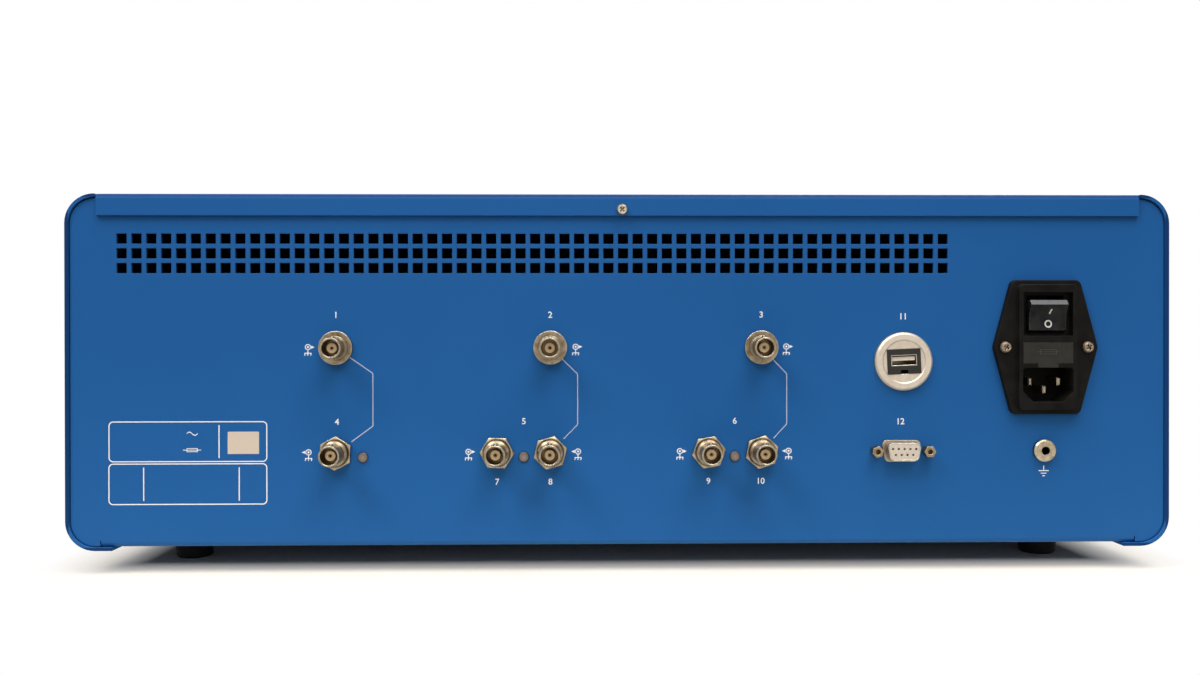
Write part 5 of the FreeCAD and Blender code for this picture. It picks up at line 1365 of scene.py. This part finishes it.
@dataclass
class MainsInlet:
    """The moulded inlet with its rocker switch, its fuse drawer and their marks."""

    pivot: Vector = field(default_factory=lambda: Vector((203.4 * MM, -178.5 * MM, 123.4 * MM)))
    tilt: float = math.radians(12.0)
    mark_thickness: float = 0.03 * MM
    on_place: Point = (1.0 * MM, 2.6 * MM)
    on_height: float = 2.4 * MM
    on_width: float = 0.7 * MM
    on_lean: float = 0.8 * MM
    on_steps: int = 6
    off_place: Point = (0.3 * MM, -3.4 * MM)
    off_radii: Range = (1.8 * MM, 1.15 * MM)
    drawer_face: float = -185.4 * MM
    drawer_middle: Point = (203.4 * MM, 105.3 * MM)
    fuse_half: Point = (4.0 * MM, 1.15 * MM)
    fuse_lead: float = 1.6 * MM
    fuse_stroke: float = 0.3 * MM
    fuse_thickness: float = 0.12 * MM

    def on_mark(self, ground: Ground) -> bpy.types.Mesh:
        """Draw the slanted stroke of the ON mark, laid on the hollow face in short steps.

        Args:
            ground: The rocker's face.

        Returns:
            The stroke's mesh.
        """
        layer = InkLayer(ground, self.mark_thickness)
        across, up = self.on_place
        half = self.on_width / 2.0
        left, right = [], []
        for step in range(self.on_steps + 1):
            share = step / self.on_steps - 0.5
            middle = across + share * self.on_lean
            height = up + share * self.on_height
            left.append((middle - half, height))
            right.append((middle + half, height))
        layer.figure(right + left[::-1])
        return layer.to_mesh()

    def off_mark(self, ground: Ground) -> bpy.types.Mesh:
        """Draw the ring of the OFF mark.

        Args:
            ground: The rocker's face.

        Returns:
            The ring's mesh.
        """
        layer = InkLayer(ground, self.mark_thickness)
        outer, inner = (circle(*self.off_place, radius, 48) for radius in self.off_radii)
        layer.band(outer, inner)
        return layer.to_mesh()

    def fuse_sign(self) -> bpy.types.Mesh:
        """Draw the moulded fuse sign on the drawer's front.

        Returns:
            Its mesh.
        """
        layer = InkLayer(FlatGround(self.drawer_face), self.fuse_thickness)
        draw_fuse(layer, self.drawer_middle, self.fuse_half, self.fuse_lead, self.fuse_stroke)
        return layer.to_mesh()

    def build(self) -> None:
        """Dress the inlet and add its marks."""
        Wardrobe.dress(BLACK_PLASTIC, "inlet_housing")
        Wardrobe.dress(DRAWER_PLASTIC, "fuse_drawer")
        Wardrobe.dress(ROCKER_PLASTIC, "power_rocker")
        Wardrobe.dress(BLADE_PLATE, "live_pin", "neutral_pin", "earth_pin")
        Wardrobe.dress(DULL_ZINC, "inlet_screws")
        Wardrobe.dress(FUSE, "fuse")
        face = SolidGround("power_rocker", self.pivot, self.tilt)
        add_piece("switch_on_mark", self.on_mark(face), MARK_INK, "rocker")
        add_piece("switch_off_mark", self.off_mark(face), MARK_INK, "rocker")
        add_piece("fuse_sign", self.fuse_sign(), MOULDED_SIGN, "drawer")


@dataclass
class InnerUnits:
    """What lies inside the case: the board on its posts, its screening can and the power supply."""

    def build(self) -> None:
        """Dress the inner units."""
        Wardrobe.dress(RESIST, "main_board")
        Wardrobe.dress(BRASS, "board_standoffs")
        Wardrobe.dress(ZINC, "board_screws")
        Wardrobe.dress(TIN, "analog_shield")
        Wardrobe.dress(SPANGLE, "power_supply")


@dataclass(frozen=True)
class SoftBox:
    """A soft studio lamp that hangs off the instrument."""

    name: str
    way: tuple[float, float, float]
    away: float
    width: float
    depth: float
    power: float
    colour: tuple[float, float, float] = (1.0, 1.0, 1.0)

    def hang(self, target: Vector) -> bpy.types.Object:
        """Hang the lamp and turn it to the target.

        Args:
            target: What it lights.

        Returns:
            The lamp.
        """
        light = bpy.data.lights.new(self.name, "AREA")
        light.shape = "RECTANGLE"
        light.size = self.width
        light.size_y = self.depth
        light.energy = self.power
        light.color = self.colour
        lamp = bpy.data.objects.new(self.name, light)
        way = Vector(self.way).normalized()
        lamp.location = target + way * self.away
        lamp.rotation_euler = way.to_track_quat("Z", "Y").to_euler()
        bpy.context.scene.collection.objects.link(lamp)
        return lamp


@dataclass
class Studio:
    """The floor, the lamps, the surroundings and the camera."""

    floor_reach: float = 12.0
    surroundings: float = 0.2
    target: Vector = field(default_factory=lambda: Vector((0.0, -0.16, 0.1)))
    camera_place: Vector = field(default_factory=lambda: Vector((-20.85, -701.58, 114.384)) * MM)
    yaw: float = -0.01959
    pitch: float = -0.00385
    roll: float = 0.00115
    lens: float = 32.711
    sensor: float = 36.0
    nearest: float = 0.01
    lamps: tuple[SoftBox, ...] = (
        SoftBox("key_lamp", (0.25, -0.43, 0.88), 2.6, 1.6, 1.4, 36.0),
        SoftBox("side_lamp", (-0.6, -0.42, 0.8), 2.6, 0.9, 0.9, 27.0),
        SoftBox("far_lamp", (0.3, 0.82, 0.38), 2.6, 1.3, 1.3, 22.0),
        SoftBox("top_lamp", (0.0, -0.15, 1.0), 2.6, 2.4, 0.7, 32.0),
        SoftBox("front_lamp", (-0.05, -1.0, 0.62), 2.6, 1.6, 0.8, 9.0),
    )

    def floor(self) -> None:
        """Lay the floor that the feet stand on."""
        sheet = bmesh.new()
        bmesh.ops.create_grid(sheet, x_segments=8, y_segments=8, size=self.floor_reach)
        mesh = bpy.data.meshes.new("studio_floor")
        sheet.to_mesh(mesh)
        sheet.free()
        mesh.materials.append(FLOOR.material())
        ground = bpy.data.objects.new("studio_floor", mesh)
        bpy.context.scene.collection.objects.link(ground)

    def world(self) -> None:
        """Make even grey surroundings that show as white."""
        world = bpy.data.worlds.new("studio_surroundings")
        world.use_nodes = True
        bpy.context.scene.world = world
        graph = Graph(world.node_tree)
        light = graph.add("Background", {"Color": WHITE, "Strength": self.surroundings}).outputs[0]
        shown = graph.add("Background", {"Color": WHITE, "Strength": 1.0}).outputs[0]
        mixed = graph.add("MixShader", {0: seen_as_background(graph), 1: light, 2: shown})
        graph.add("OutputWorld", {"Surface": mixed.outputs[0]})

    def camera(self) -> None:
        """Set up the camera at the photograph's viewing angle."""
        lens = bpy.data.cameras.new("viewer")
        lens.sensor_width = self.sensor
        lens.lens = self.lens
        lens.clip_start = self.nearest
        viewer = bpy.data.objects.new("viewer", lens)
        turn = (Matrix.Rotation(self.yaw, 4, "Z") @ Matrix.Rotation(self.pitch, 4, "X")
                @ Matrix.Rotation(self.roll, 4, "Y") @ Matrix.Rotation(math.pi / 2.0, 4, "X"))
        viewer.matrix_world = Matrix.Translation(self.camera_place) @ turn
        bpy.context.scene.collection.objects.link(viewer)
        bpy.context.scene.camera = viewer

    def build(self) -> None:
        """Set up the whole studio."""
        bpy.context.scene.view_settings.view_transform = "Standard"
        self.floor()
        self.world()
        self.camera()
        for lamp in self.lamps:
            lamp.hang(self.target)


def main() -> None:
    """Dress the whole instrument and set up the studio."""
    logging.basicConfig(level=logging.INFO, format="%(message)s")
    CaseWork().build()
    Connectors().build()
    MainsInlet().build()
    InnerUnits().build()
    Wardrobe.check()
    PanelPrint().build()
    Studio().build()


if __name__ == "__main__":
    main()
